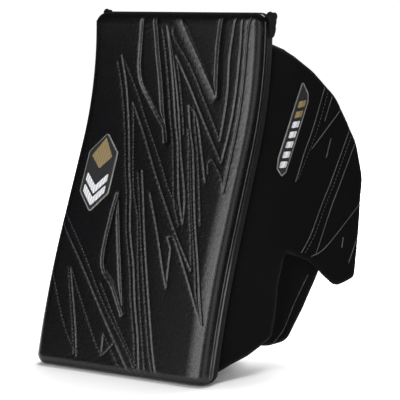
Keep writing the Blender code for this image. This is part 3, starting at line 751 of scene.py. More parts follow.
def nap_group():
    """Suede and brushed cloth: short fibres lying in patches."""
    def build(nodes, place, scale):
        fibre = nodes.noise(place, scale, 6.0, Roughness=0.7)
        return fibre, nodes.noise(place, nodes.math("MULTIPLY", scale, 0.02), 2.0, Distortion=1.2)
    return group("Suede Nap", "Scale", 1400.0, ("Height", "Patch"), build)


def weave_group():
    """Plain weave of ribs, Pitch apart, and the slow soiling of cloth."""
    def build(nodes, place, pitch):
        split = nodes.add("ShaderNodeSeparateXYZ", {"Vector": place}).outputs
        rate = nodes.math("DIVIDE", 2 * pi, pitch)
        slope = nodes.math("ADD", split["Y"], split["Z"])
        one, two = (nodes.math("SINE", nodes.math("MULTIPLY", nodes.math(sign, split["X"], slope), rate))
                    for sign in ("ADD", "SUBTRACT"))
        height = nodes.math("MULTIPLY_ADD", nodes.math("MULTIPLY", one, two), 0.5, 0.5)
        return height, nodes.noise(place, 60.0, 3.0)
    return group("Cloth Weave", "Pitch", 0.0014, ("Height", "Tone"), build)


def wear_group():
    """Rubbed, slightly paler high spots, from the curve of the surface."""
    def build(nodes, place, amount):
        shape = nodes.add("ShaderNodeNewGeometry").outputs
        edge = nodes.ramp(shape["Pointiness"], ((0.50, 0.0), (0.58, 1.0)))
        broken = nodes.math("GREATER_THAN", nodes.noise(place, 220.0, 4.0), 0.42)
        return (nodes.math("MULTIPLY", nodes.math("MULTIPLY", edge, broken), amount),)
    return group("Edge Wear", "Amount", 0.5, ("Mask",), build)


def shader(name, roughness, metallic=0.0, sheen=0.0, specular=0.5):
    """New material, its nodes, its shader and the object coordinates."""
    look = bpy.data.materials.new(name)
    look.use_nodes = True
    nodes = Nodes(look.node_tree)
    made = look.node_tree.nodes["Principled BSDF"]
    for key, value in (("Roughness", roughness), ("Metallic", metallic), ("Sheen Weight", sheen),
                       ("Specular IOR Level", specular), ("Sheen Roughness", 0.4)):
        made.inputs[key].default_value = value
    coordinates = nodes.add("ShaderNodeTexCoord").outputs["Object"]
    return look, nodes, made, coordinates


def bump(nodes, made, height, distance):
    node = nodes.add("ShaderNodeBump", {"Height": height, "Distance": distance, "Strength": 1.0})
    nodes.put(made.inputs["Normal"], node.outputs["Normal"])


def solid(colour, gain=1.0):
    return (*(part * gain for part in colour), 1.0)


def placed_group(nodes, made_group, **inputs):
    """A shared node group in a material. Its output sockets."""
    return nodes.add("ShaderNodeGroup", inputs, node_tree=made_group).outputs


def leather_look(name, colour, scale, depth, roughness, wear=0.5, lift=1.7):
    """Grained leather, paler by lift where it is rubbed."""
    look, nodes, made, place = shader(name, roughness)
    grain = placed_group(nodes, grain_group(), Vector=place, Scale=scale)
    rub = placed_group(nodes, wear_group(), Vector=place, Amount=wear)["Mask"]
    toned = nodes.mix(grain["Tone"], solid(colour, 0.8), solid(colour, 1.25))
    nodes.put(made.inputs["Base Color"], nodes.mix(rub, toned, solid(colour, lift)))
    shine = nodes.math("MULTIPLY_ADD", grain["Fine"], 0.16, roughness - 0.08)
    nodes.put(made.inputs["Roughness"], nodes.math("SUBTRACT", shine, nodes.math("MULTIPLY", rub, 0.05)))
    bump(nodes, made, grain["Height"], depth)
    return look


def suede_look(name, colour):
    """Matt microsuede with a short nap."""
    look, nodes, made, place = shader(name, 0.95, sheen=0.03, specular=0.12)
    nap = placed_group(nodes, nap_group(), Vector=place, Scale=1400.0)
    nodes.put(made.inputs["Base Color"], nodes.mix(nap["Patch"], solid(colour, 0.75), solid(colour, 1.35)))
    bump(nodes, made, nap["Height"], 0.00016)
    return look


def cloth_look(name, colour, pitch, depth, roughness=0.85, sheen=0.05):
    """Woven tape, webbing or cord."""
    look, nodes, made, place = shader(name, roughness, sheen=sheen, specular=0.3)
    weave = placed_group(nodes, weave_group(), Vector=place, Pitch=pitch)
    thread = nodes.mix(weave["Height"], solid(colour, 0.45), solid(colour, 1.2))
    shade = nodes.math("MULTIPLY", nodes.math("MULTIPLY_ADD", weave["Tone"], 0.5, 0.75), 0.5)
    nodes.put(made.inputs["Base Color"], nodes.mix(shade, thread, solid(colour, 0.8)))
    bump(nodes, made, weave["Height"], depth)
    return look


def spotted_look(name, colour, texture, output, stops, tones, depth, **finish):
    """Small cells or dots that stand out, over a darker ground. tones are the ground's and the dots' gain."""
    look, nodes, made, place = shader(name, **finish)
    options = {"feature": "DISTANCE_TO_EDGE"} if output == "edge" else {}
    cells = nodes.add("ShaderNodeTexVoronoi", {"Vector": place, **texture}, **options)
    mask = nodes.ramp(cells.outputs["Distance"], stops)
    nodes.put(made.inputs["Base Color"], nodes.mix(mask, solid(colour, tones[0]), solid(colour, tones[1])))
    bump(nodes, made, mask, depth)
    return look


def mesh_look(name, colour):
    """Knitted spacer mesh: rows of small open cells."""
    return spotted_look(name, colour, {"Scale": 620.0, "Randomness": 0.25}, "edge",
                        ((0.0, 1.0), (0.16, 0.9), (0.3, 0.0)), (0.3, 1.3), 0.0003,
                        roughness=0.9, sheen=0.08, specular=0.25)


def tape_look(name, colour, scale, depth, roughness):
    """Hook or loop tape: a dense field of small hooks or loops."""
    return spotted_look(name, colour, {"Scale": scale}, "middle", ((0.1, 1.0), (0.55, 0.0)), (0.4, 1.6),
                        depth, roughness=roughness, sheen=0.1)


def grip_look(name, colour):
    """Rubbery grip print: rows of raised dots on soft leather."""
    return spotted_look(name, colour, {"Scale": 330.0, "Randomness": 0.0}, "middle",
                        ((0.28, 1.0), (0.4, 0.0)), (0.7, 1.5), 0.0005, roughness=0.7)


def thread_look(name, colour):
    """Embroidery or sewing thread: fine twisted lines."""
    look, nodes, made, place = shader(name, 0.6, sheen=0.2)
    turned = nodes.add("ShaderNodeMapping", {"Vector": place, "Rotation": (0.4, 0.0, 0.9)})
    twist = nodes.add("ShaderNodeTexWave", {"Vector": turned.outputs["Vector"], "Scale": 160.0,
                                            "Distortion": 1.5, "Detail": 1.0}).outputs["Fac"]
    nodes.put(made.inputs["Base Color"], nodes.mix(twist, solid(colour, 0.72), solid(colour, 1.12)))
    bump(nodes, made, twist, 0.0002)
    return look


def moulded_look(name, colour, roughness, metallic=0.0):
    """Moulded plastic or plated metal, a little uneven and rubbed at its edges."""
    look, nodes, made, place = shader(name, roughness, metallic=metallic)
    rub = placed_group(nodes, wear_group(), Vector=place, Amount=0.3)["Mask"]
    uneven = nodes.noise(place, 420.0, 4.0)
    nodes.put(made.inputs["Base Color"], nodes.mix(rub, solid(colour), solid(colour, 2.0)))
    nodes.put(made.inputs["Roughness"], nodes.math("MULTIPLY_ADD", uneven, 0.14, roughness - 0.07))
    bump(nodes, made, uneven, 0.00005)
    return look


LOOKS = {}                      # every material by a short name


class BLOCKER_OT_materials(bpy.types.Operator):
    """Makes the leathers, cloths, tapes, threads and metals that the pieces share"""
    bl_idname = "blocker.materials"
    bl_label = "Materials"

    def execute(self, context):
        make_looks(settings())
        return {"FINISHED"}


def make_looks(chosen):
    """Fills LOOKS from the settings."""
    face, suede, palm = chosen.face_colour, chosen.suede_colour, chosen.palm_colour
    thread, gold = chosen.thread_colour, chosen.gold_colour
    LOOKS.update({
        "face": leather_look("Face leather", face, 560.0, 0.00006, 0.27, lift=2.2),
        "suede": suede_look("Black microsuede", suede),
        "lining": mesh_look("Mesh lining", (0.02, 0.02, 0.023)),
        "binding": cloth_look("Binding tape", (0.0028, 0.0028, 0.0032), 0.0016, 0.00018, sheen=0.0),
        "palm": leather_look("Palm leather", palm, 1500.0, 0.00012, 0.62, wear=0.3, lift=1.4),
        "grip": grip_look("Grip print", (0.016, 0.016, 0.017)),
        "loop": tape_look("Loop tape", (0.012, 0.012, 0.013), 1500.0, 0.0005, 0.95),
        "hook": tape_look("Hook tape", (0.018, 0.018, 0.019), 800.0, 0.0007, 0.55),
        "webbing": cloth_look("Webbing", (0.013, 0.013, 0.014), 0.0024, 0.0004, 0.75),
        "steel": moulded_look("Black steel", (0.09, 0.09, 0.095), 0.34, metallic=1.0),
        "plastic": moulded_look("Board plastic", (0.02, 0.02, 0.02), 0.5),
        "foam": cloth_look("Foam core", (0.05, 0.05, 0.053), 0.003, 0.0002),
        "lace": cloth_look("Lace cord", (0.016, 0.016, 0.017), 0.0019, 0.0004, 0.8),
        "thread": thread_look("Grey thread", thread),
        "dark_thread": thread_look("Dark thread", tuple(part * 0.45 for part in thread)),
        "gold": thread_look("Gold thread", gold),
        "white": thread_look("White thread", (0.72, 0.73, 0.76)),
        "grey": thread_look("Grey border thread", (0.24, 0.235, 0.22)),
        "black": thread_look("Black thread", (0.006, 0.006, 0.007)),
    })


# ---- the face ---------------------------------------------------------------------------------------
SWELL = 0.28                    # how far the foam stands up between the seams
CROWN_X = 77.0                  # where the face starts to fall away to its right edge
CROWN_SLOPE = 0.21
FACE_MARGIN = 3.0               # seams end this far inside the board's rim
RIM_PIPING = radians(72.0)      # how far round the rolled edge its cord lies


def face_relief(points):
    """How far the face sinks at (x, s): channels, seams and the soft swell of the foam between them."""
    nearest = np.full(len(points), 30.0)
    sink = np.zeros(len(points))
    for depth, left, right, line in CHANNELS:
        line = curved(line, 4.0)
        distance = distance_to(points, line)
        middle = np.interp(points[:, 1], line[::-1, 1], line[::-1, 0])
        reach = np.where(points[:, 0] < middle, left, right)
        sink = np.maximum(sink, depth * valley(distance, reach * 1.2))
        nearest = np.minimum(nearest, distance)
    seam = settings().groove_depth / MM
    for rows, share, width in ((CORDED, 1.0, 1.5), (DOTTED, 0.5, 1.2)):
        for line in rows:
            distance = distance_to(points, curved(line, 5.0))
            sink = np.maximum(sink, seam * share * valley(distance, width))
            nearest = np.minimum(nearest, distance + 1.0)
    swell = SWELL * (1.0 - np.exp(-nearest / 3.5))
    x, s = points[:, 0], points[:, 1]
    pucker = np.sin(x * 0.71 + s * 0.23) * np.sin(s * 0.53 - x * 0.31) + np.sin(x * 0.37 - s * 0.97 + 2.0)
    swell = swell + 0.05 * pucker * np.exp(-nearest / 9.0)
    crown = CROWN_SLOPE * (np.hypot(np.maximum(x - CROWN_X, 0.0), 8.0) - 8.0)
    return sink + crown + SWELL - swell


def face_grid(step, sink=0.0):
    """The board's covering as a grid over the face, round its rolled edge and down its side."""
    core_x = BOARD_WIDTH / 2 - PLAN_CORNER
    low, high = PLAN_CORNER, BOARD_LENGTH - PLAN_CORNER
    flat = PLAN_CORNER - EDGE_ROLL
    arc = EDGE_ROLL * pi / 2
    reach = flat + arc + BOARD_SIDE - EDGE_ROLL
    columns = np.linspace(-core_x - reach, core_x + reach, round(2 * (core_x + reach) / step))
    rows = np.linspace(low - reach, high + reach, round((high - low + 2 * reach) / step))
    p, q = np.meshgrid(columns, rows)
    near_x, near_s = np.clip(p, -core_x, core_x), np.clip(q, low, high)
    dx, ds = p - near_x, q - near_s
    length = np.maximum(np.hypot(dx, ds), 1e-9)
    run = np.maximum(np.abs(dx), np.abs(ds))
    turned = np.clip((run - flat) / EDGE_ROLL, 0.0, pi / 2)
    out = np.minimum(run, flat) + EDGE_ROLL * np.sin(turned)
    down = EDGE_ROLL * (1.0 - np.cos(turned)) + np.maximum(0.0, run - flat - arc)
    x = near_x + dx / length * out
    s = near_s + ds / length * out
    deep = face_relief(np.stack((x.ravel(), s.ravel()), -1)).reshape(x.shape)
    fade = np.cos(turned) ** 0.5 * (down < BOARD_SIDE - 0.5)
    shrink = deep * fade + sink
    x = x - dx / length * np.sin(turned) * shrink * 0.6
    s = s - ds / length * np.sin(turned) * shrink * 0.6
    n = down + shrink * np.cos(turned)
    return board(x, s, n), x.shape


def shell(name, places, shape, look):
    """Grid mesh with its rim turned in a little behind."""
    rows, columns = shape
    vertices = places.reshape(-1, 3)
    number = np.arange(rows * columns).reshape(rows, columns)
    faces = np.stack((number[:-1, :-1], number[:-1, 1:], number[1:, 1:], number[1:, :-1]), -1).reshape(-1, 4)
    rim = np.concatenate((number[0, :-1], number[:-1, -1], number[-1, :0:-1], number[:0:-1, 0]))
    centre = vertices[rim].mean(0)
    inner = vertices[rim] + (centre - vertices[rim]) * 0.03
    vertices = np.vstack((vertices, inner))
    start = rows * columns
    count = len(rim)
    ring = [(rim[i], rim[(i + 1) % count], start + (i + 1) % count, start + i) for i in range(count)]
    return new_piece(name, vertices, [*faces.tolist(), *ring], [look])


def face_place(x, s, t):
    """Place on the quilted face, t in front of it."""
    deep = face_relief(np.stack((x, s), -1))
    side = np.minimum(BOARD_WIDTH / 2 - np.abs(x), np.minimum(s, BOARD_LENGTH - s))
    inside = np.clip(EDGE_ROLL - side, 0.0, EDGE_ROLL)
    roll = EDGE_ROLL - np.sqrt(EDGE_ROLL ** 2 - inside ** 2)
    return board(x, s, deep + roll - t)


def face_rows(lines, t):
    """Places and outward normals of the parts of lines that lie on the board's face, t in front of it."""
    rows = []
    for line in lines:
        x, s = curved(line, 1.5).T
        inside = np.minimum(BOARD_WIDTH / 2 - np.abs(x), np.minimum(s, BOARD_LENGTH - s))
        keep = inside > FACE_MARGIN
        x, s = x[keep], s[keep]
        if len(x) > 2:
            rows.append((face_place(x, s, t), facing(s, -1.0)))
    return rows


class BLOCKER_OT_face(bpy.types.Operator):
    """Makes the quilted leather face with its channels, seams and stitching"""
    bl_idname = "blocker.face"
    bl_label = "Leather face"

    def execute(self, context):
        places, shape = face_grid(settings().mesh_size / MM)
        cover = shell("face_leather_cover", places, shape, "face")
        fit(cover, ["face_cover"], "board")
        places, shape = face_grid(4.0, sink=2.4)
        core = shell("quilted_foam_core", places, shape, "foam")
        fit(core, ["foam_core"], "board")
        cords = [tube("cord", places, 0.32, "thread", sides=6) for places, _ in face_rows(CORDED, 0.02)]
        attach(joined("face_piping", cords), "board")
        s = np.linspace(8.0, BOARD_LENGTH - 8.0, 190)
        out = BOARD_WIDTH / 2 - EDGE_ROLL * (1.0 - sin(RIM_PIPING)) + 0.15
        cords = []
        for side in (-1.0, 1.0):
            places = board(side * out, s, EDGE_ROLL * (1.0 - cos(RIM_PIPING)))
            cords.append(tube("cord", places, 0.38, "thread", sides=6))
        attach(joined("face_rim_piping", cords), "board")
        dots = stitches("face_stitching", face_rows(DOTTED, 0.0), "thread", width=0.34, lift=0.15)
        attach(dots, "board")
        return {"FINISHED"}


class BLOCKER_OT_board_back(bpy.types.Operator):
    """Makes the board's back cover, stiffener and edge binding"""
    bl_idname = "blocker.board_back"
    bl_label = "Board back"

    def execute(self, context):
        half = BOARD_WIDTH / 2 - 3.2
        loop = outline(rectangle(-half, half, 3.2, BOARD_LENGTH - 3.2, 9.0), 2.5)

        def swell(points):
            depth = distance_to(points, loop, closed=True)
            return 0.5 * (1.0 - np.exp(-depth / 10.0)) - 0.7 * valley(np.abs(depth - 8.0), 1.6)

        cover = sheet("back_leather_cover", loop, board, BOARD_SIDE + 0.2, BACK_FACE - 0.3, ["face"],
                      size=3.0, edge=2.0, relief=swell)
        fit(cover, ["back_cover"], "board")
        x, s = ended(grown(loop, -8.0)).T
        rows = [(board(x, s, BACK_FACE - 0.6), facing(s, 1.0))]
        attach(stitches("back_stitching", rows, "dark_thread", width=0.5), "board")
        self.edge()
        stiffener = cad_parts["stiffener"].data
        stiffener.materials.clear()
        stiffener.materials.append(LOOKS["plastic"])
        return {"FINISHED"}

    def edge(self):
        """Woven tape folded over the rim of face and back."""
        rim = outline(rectangle(-BOARD_WIDTH / 2, BOARD_WIDTH / 2, 0.0, BOARD_LENGTH, PLAN_CORNER), 2.0)
        section = [(0.1, 14.6), (0.5, 16.0), (0.75, 20.5), (0.6, 22.4), (-0.4, 23.7), (-1.8, 24.0),
                   (-6.0, 23.5), (-7.0, 23.0), (-6.0, 22.4), (-1.5, 21.6), (-0.8, 20.0), (-0.5, 15.0)]
        tape = swept("board_edge_binding", rim, board, section, "binding")
        fit(tape, ["edge_binding"], "board")
        x, s = ended(grown(rim, -5.0)).T
        places = board(x, s, 23.9)
        places[:, 2] = np.maximum(places[:, 2], 0.4)
        row = stitches("binding_stitching", [(places, facing(s, 1.0))], "dark_thread", width=0.4)
        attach(row, "board")


class BLOCKER_OT_corners(bpy.types.Operator):
    """Makes the gathered ends of the edge tape at the board's upper corners"""
    bl_idname = "blocker.corners"
    bl_label = "Corner gathers"

    def execute(self, context):
        right = self.gather("right", 95.0, 108.5, 358.0, 382.5, 12.0)
        left = self.gather("left", -100.0, -89.0, 372.0, 384.0, 8.0)
        gathers = joined("corner_gathers", [right, left])
        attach(gathers, "board")
        return {"FINISHED"}

    def gather(self, name, x0, x1, s0, s1, deep):
        """Folded tape standing round a corner, pleated along its height."""
        middle = (x0 + x1) / 2
        rows = np.linspace(s0, s1, 26)
        count = 40
        rings = []
        for s in rows:
            part = (s - s0) / (s1 - s0)
            close = sqrt(max(1.0 - abs(2.0 * part - 1.0) ** 6.0, 0.05)) * (0.6 + 0.4 * part)
            ring = []
            for k in range(count):
                angle = 2 * pi * k / count
                fold = 1.0 + 0.05 * sin(3.0 * angle + part * 7.0) + 0.035 * sin(part * 24.0 + angle * 2.0)
                across = (x1 - x0) / 2 * close * fold
                ring.append((middle + across * cos(angle), 19.5 + deep / 2 * close * fold * sin(angle)))
            ring = np.array(ring)
            rings.append(bend(ring[:, 0], ring[:, 1], s + 0.6 * np.sin(ring[:, 0] * 0.9)))
        faces = ends(len(rows), count) + strips(len(rows), count)
        return turned_out(new_piece(name, np.concatenate(rings), faces, ["binding"]))


def patch_layer(loop, place, low, high, look, size, edge):
    """One layer of an embroidered patch."""
    return sheet("layer", loop, place, low, high, [look], size=size, edge=edge)


class BLOCKER_OT_emblem(bpy.types.Operator):
    """Makes the embroidered patch on the face: a plain lozenge with chevrons"""
    bl_idname = "blocker.emblem"
    bl_label = "Face patch"

    def execute(self, context):
        corners = [(-67.0, 164.0, 3.0), (-49.0, 186.0, 4.0), (-49.0, 231.0, 4.0),
                   (-67.0, 253.0, 3.0), (-85.0, 231.0, 4.0), (-85.0, 186.0, 4.0)]
        edge = outline(corners, 1.5)
        layers = [patch_layer(edge, front_layer, -0.9, 0.7, "grey", 2.5, 0.8),
                  patch_layer(grown(edge, -1.4), front_layer, 0.5, 1.0, "black", 2.5, 0.6)]
        diamond = [(-67.0, 212.0, 1.0), (-54.5, 226.0, 1.0), (-67.0, 247.0, 1.0), (-79.5, 226.0, 1.0)]
        layers.append(patch_layer(outline(diamond, 1.5), front_layer, 0.9, 1.5, "gold", 2.0, 0.8))
        for low in (171.0, 184.0):
            chevron = [(-67.0, low, 0.8), (-54.0, low + 15.0, 0.8), (-54.0, low + 24.0, 0.8),
                       (-67.0, low + 9.5, 0.8), (-80.0, low + 24.0, 0.8), (-80.0, low + 15.0, 0.8)]
            layers.append(patch_layer(outline(chevron, 1.5), front_layer, 0.9, 1.5, "white", 2.0, 0.8))
        fit(joined("face_patch", layers), ["face_emblem"], "board")
        return {"FINISHED"}


# ---- side wall, thumb flap and finger guard ---------------------------------------------------------
SEAM_W = -11.0                  # where the wall's cover meets the flap's, on the wall
SEAM_TOP = 348.5
WEB_REACH = 36.0                # how far the web between them reaches from the crease, along the flap
WEB_WALL = 86.0                 # and on the wall, as n
WEB_ROWS = 14.0
WALL_START = 22.5               # n of the wall's edge beside the board
WALL_TOP = 354.0
SLIT_LOW = 159.5                # s of the cut between the wall's lower part and the flap
SLIT_HIGH = 163.0
WALL_RIM = [(WALL_START, 14.0, 2.0), (42.0, 27.5, 30.0), (62.0, 40.0, 40.0), (88.0, 64.0, 18.0),
            (88.4, 92.0, 60.0), (84.6, 126.0, 60.0), (86.0, 158.5, 7.0)]


def seam_line(low, high):
    """(n, s) of the joint between the wall's cover and the flap's, upwards."""
    s = np.linspace(low, high, round((high - low) / 2.5))
    return np.stack((crease_n(s) + SEAM_W * cos(WALL_ANGLE), s), -1)


def bend_with_flap(piece):
    """Bakes a piece's place into its mesh. The line across the crease that it works out is not used."""
    middle = (CREASE_A + CREASE_B) / 2
    lean = spine(223.0)[2]
    outwards = np.array((sin(WALL_ANGLE), cos(WALL_ANGLE) * cos(lean), -cos(WALL_ANGLE) * sin(lean)))
    start, end = (middle - outwards * 8.0) * MM, (middle + outwards * 10.0) * MM
    tuple(start)
    tuple(end)
    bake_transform(piece)


class BLOCKER_OT_side_wall(bpy.types.Operator):
    """Makes the side wall and the thumb flap, one padded suede panel that bends at the crease"""
    bl_idname = "blocker.side_wall"
    bl_label = "Side wall and thumb flap"

    def execute(self, context):
        looks = ["suede", "suede", "lining"]
        slit = float(crease_n(160.0))
        corner = slit + SEAM_W * cos(WALL_ANGLE)
        lower = outline([*WALL_RIM, (slit + 1.0, SLIT_LOW, 0.0), (corner, SLIT_HIGH, 0.0),
                         (WALL_START, SLIT_HIGH, 0.0)], 2.5)
        n, s = lower.T
        edge = lower[(s < 156.0) & ~((n < WALL_START + 0.5) & (s > 20.0))]
        seam = seam_line(SLIT_HIGH, SEAM_TOP)
        top = (WALL_START, WALL_TOP)
        side = np.count_nonzero((n < WALL_START + 0.1) & (s > 20.0))
        loop = np.vstack((lower[:-side], seam, divided([seam[-1], top], 2.5)[1:],
                          divided([top, (WALL_START, 16.0)], 2.5)[1:-1]))

        def roll(points):
            """The edge beside the board is rolled under."""
            return -2.6 * np.clip(1.0 - (points[:, 0] - WALL_START) / 9.0, 0.0, 1.0) ** 2

        cover = sheet("side_wall_panel", loop, wall, -PANEL_HALF, PANEL_HALF, looks, size=3.0, edge=5.0,
                      free=[edge, np.array([seam[-1], top])], relief=roll)
        fit(cover, ["side_wall_core", "side_wall_skin", "side_wall_liner"], "board")
        self.wing(looks)
        return {"FINISHED"}

    def wing(self, looks):
        """The flap's panel with its burst of seams, from the wall's cover outwards."""
        silhouette = [(SEAM_W, SLIT_HIGH, 0.0), (-2.0, 163.2, 4.0), (44.0, 164.0, 22.0), (64.0, 161.0, 14.0),
                      (95.0, 141.5, 9.0), (114.0, 158.5, 6.0), (111.4, 206.0, 90.0), (106.8, 256.0, 25.0),
                      (94.0, 280.5, 30.0), (63.5, 313.5, 50.0), (33.5, 332.0, 60.0), (8.0, 343.0, 40.0),
                      (SEAM_W, SEAM_TOP, 0.0)]
        rim = outline(silhouette, 2.5)
        seam = np.stack((np.full(75, SEAM_W), np.linspace(SEAM_TOP, SLIT_HIGH, 75)), -1)[1:-1]
        rim = rim[rim[:, 0] > SEAM_W + 0.1]
        loop = np.vstack(([(SEAM_W, SLIT_HIGH)], rim, [(SEAM_W, SEAM_TOP)], seam))
        free = rim[(rim[:, 0] > WEB_REACH) | (rim[:, 1] > 300.0)]
        free = np.vstack((free, [(SEAM_W - 1.0, SEAM_TOP + 0.2)]))
        quilt = sunk([curved(line, 4.0) for _, line in WING_LINES], 0.8, 2.6)
        cover = sheet("thumb_flap_panel", loop, wing, -PANEL_HALF, PANEL_HALF, looks, size=1.7, edge=4.0,
                      free=[free], relief=quilt)
        fit(cover, ["thumb_flap_core", "thumb_flap_skin", "thumb_flap_liner", "thumb_flap_binding"],
            None)
        bend_with_flap(cover)
        self.web(looks)
        cords, rows = [], []
        for corded, line in WING_LINES:
            line = curved(line, 1.2)
            depth = distance_to(line, rim)
            line, depth = line[depth > 2.5], depth[depth > 2.5]
            places, normals = row_on(wing, line, PANEL_HALF * rounding(depth, 4.0) - 0.35)
            if corded:
                cords.append(tube("cord", places, 0.42, "thread", sides=6))
            else:
                rows.append((places, normals))
        seams = joined("thumb_flap_piping", cords)
        bend_with_flap(seams)
        bend_with_flap(stitches("thumb_flap_stitching", rows, "dark_thread", width=0.36))

    def web(self, looks):
        """Joins the wall's upper corner to the flap's lower edge, with a hollow free edge."""
        first = float(crease_n(160.0))

        def place(u, v, t):
            part = (v / WEB_ROWS)[:, None]
            low = wall(first + (WEB_WALL - first) * u / WEB_REACH, SLIT_LOW - 0.1, t)
            high = wing(u, np.full(len(u), SLIT_HIGH + 1.0), t)
            return low * (1.0 - part) + high * part

        rows = np.linspace(0.0, WEB_ROWS, 9)
        hollow = [(WEB_REACH - 2.5 * sin(pi * v / WEB_ROWS), v) for v in rows]
        start = SEAM_W + 2.0
        loop = np.vstack((divided([(start, 0.0), hollow[0]], 2.0)[:-1], hollow,
                          divided([(WEB_REACH, WEB_ROWS), (start, WEB_ROWS), (start, 0.0)], 2.0)[1:-1]))
        web = sheet("wall_flap_web", loop, place, -1.5, PANEL_HALF, looks, size=1.8, edge=3.0,
                    free=[np.array(hollow)])
        bend_with_flap(web)


class BLOCKER_OT_trims(bpy.types.Operator):
    """Makes the edge bindings of the side wall, and the seam cord beside the board"""
    bl_idname = "blocker.trims"
    bl_label = "Side wall bindings"

    def execute(self, context):
        rim = outline([*WALL_RIM, (60.0, 160.0, 0.0)], 2.0)
        n, s = rim[(rim[:, 0] > 30.0) & (rim[:, 1] < 158.0)].T
        hem = tube("side_wall_edge", wall(n + 0.3, s, 0.0), 1.0, "binding")
        fit(hem, ["side_wall_binding"], "board")
        n = np.linspace(36.0, 24.0, 8)
        top = SEAM_TOP - 0.8 + (WALL_TOP - SEAM_TOP) * (42.0 - n) / 19.5
        cap = tube("side_wall_top_edge", wall(n, top, 0.0), 1.2, "binding")
        fit(cap, ["side_wall_top_binding"], "board")
        s = np.linspace(20.0, 352.0, 140)
        cord = tube("wall_seam_cord", wall(26.0, s, PANEL_HALF - 1.4), 0.45, "thread", sides=6)
        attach(cord, "board")
        return {"FINISHED"}


class BLOCKER_OT_badge(bpy.types.Operator):
    """Makes the long embroidered badge on the flap: a plain striped arrow"""
    bl_idname = "blocker.badge"
    bl_label = "Flap badge"

    def execute(self, context):
        corners = [(20.0, 323.0, 2.0), (14.5, 300.0, 0.0), (4.0, 250.0, 0.0), (4.5, 240.0, 2.0),
                   (12.0, 234.0, 2.0), (17.0, 240.0, 0.0), (31.0, 305.0, 0.0), (30.0, 312.0, 2.0)]
        edge = outline(corners[::-1], 1.5)[::-1]
        base = PANEL_HALF - 0.3
        layers = [patch_layer(edge, wing, base, base + 0.9, "grey", 2.5, 0.7),
                  patch_layer(grown(edge, -1.3), wing, base + 0.7, base + 1.15, "black", 2.5, 0.5)]
        for number in range(7):
            a, b = 6.6 + number * 1.9, 241.5 + number * 9.4
            bar = [(a, b, 0.6), (a + 8.4, b + 2.6, 0.6), (a + 9.8, b + 8.6, 0.6), (a + 1.2, b + 6.0, 0.6)]
            look = "gold" if number >= 5 else "white"
            layers.append(patch_layer(outline(bar, 1.2), wing, base + 1.0, base + 1.6, look, 1.8, 0.6))
        badge = joined("flap_badge_patch", layers)
        fit(badge, ["flap_badge"], None)
        bend_with_flap(badge)
        return {"FINISHED"}


class BLOCKER_OT_guard(bpy.types.Operator):
    """Makes the padded index finger guard with its wide edge band"""
    bl_idname = "blocker.guard"
    bl_label = "Finger guard"

    def execute(self, context):
        loop = outline([(4.0, 60.0, 5.0), (42.0, 54.0, 32.0), (68.0, 66.5, 20.0), (82.0, 112.0, 90.0),
                        (95.0, 170.5, 9.0), (48.0, 170.0, 16.0), (4.0, 167.5, 7.0)], 2.2)
        inner = curved([(50.0, 60.0), (60.0, 78.0), (68.0, 112.0), (80.0, 158.0)], 3.0)

        looks = ["suede", "suede", "lining"]
        pad = sheet("index_guard_panel", loop, guard, -GUARD_HALF, GUARD_HALF, looks, size=2.8, edge=4.2,
                    relief=sunk([inner], 0.9, 2.4))
        fit(pad, ["index_guard_core", "index_guard_skin", "index_guard_liner"], "index_guard")
        edge = tube("index_guard_edge", guard(*loop.T, 0.0), 0.9, "binding", closed=True)
        fit(edge, ["index_guard_binding"], "index_guard")
        places = row_on(guard, inner[::3], GUARD_HALF - 0.5)[0]
        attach(tube("index_guard_piping", places, 0.4, "thread", sides=6), "index_guard")
        return {"FINISHED"}


# ---- glove ------------------------------------------------------------------------------------------
FINGER_GAPS = [((x, 0.0), (x, BOARD_LENGTH)) for x in (2.5, 29.5, 56.5)]     # lines between the fingers
PALM_CREASES = [((-24, 176), (10, 172), (54, 160)), ((-24, 205), (20, 212), (50, 232)),
                ((60, 236), (46, 200), (58, 150))]
GUSSET_FRONT = 24.5


def tapes(loop, size, layers):
    """Hook and loop tapes of one outline. layers are (name, frame part, hook or loop, n, body)."""
    for name, node, kind, start, body in layers:
        tape = sheet(name, loop, back_layer, start, start + 1.4, [kind], size=size, edge=0.7)
        fit(tape, [node], body)


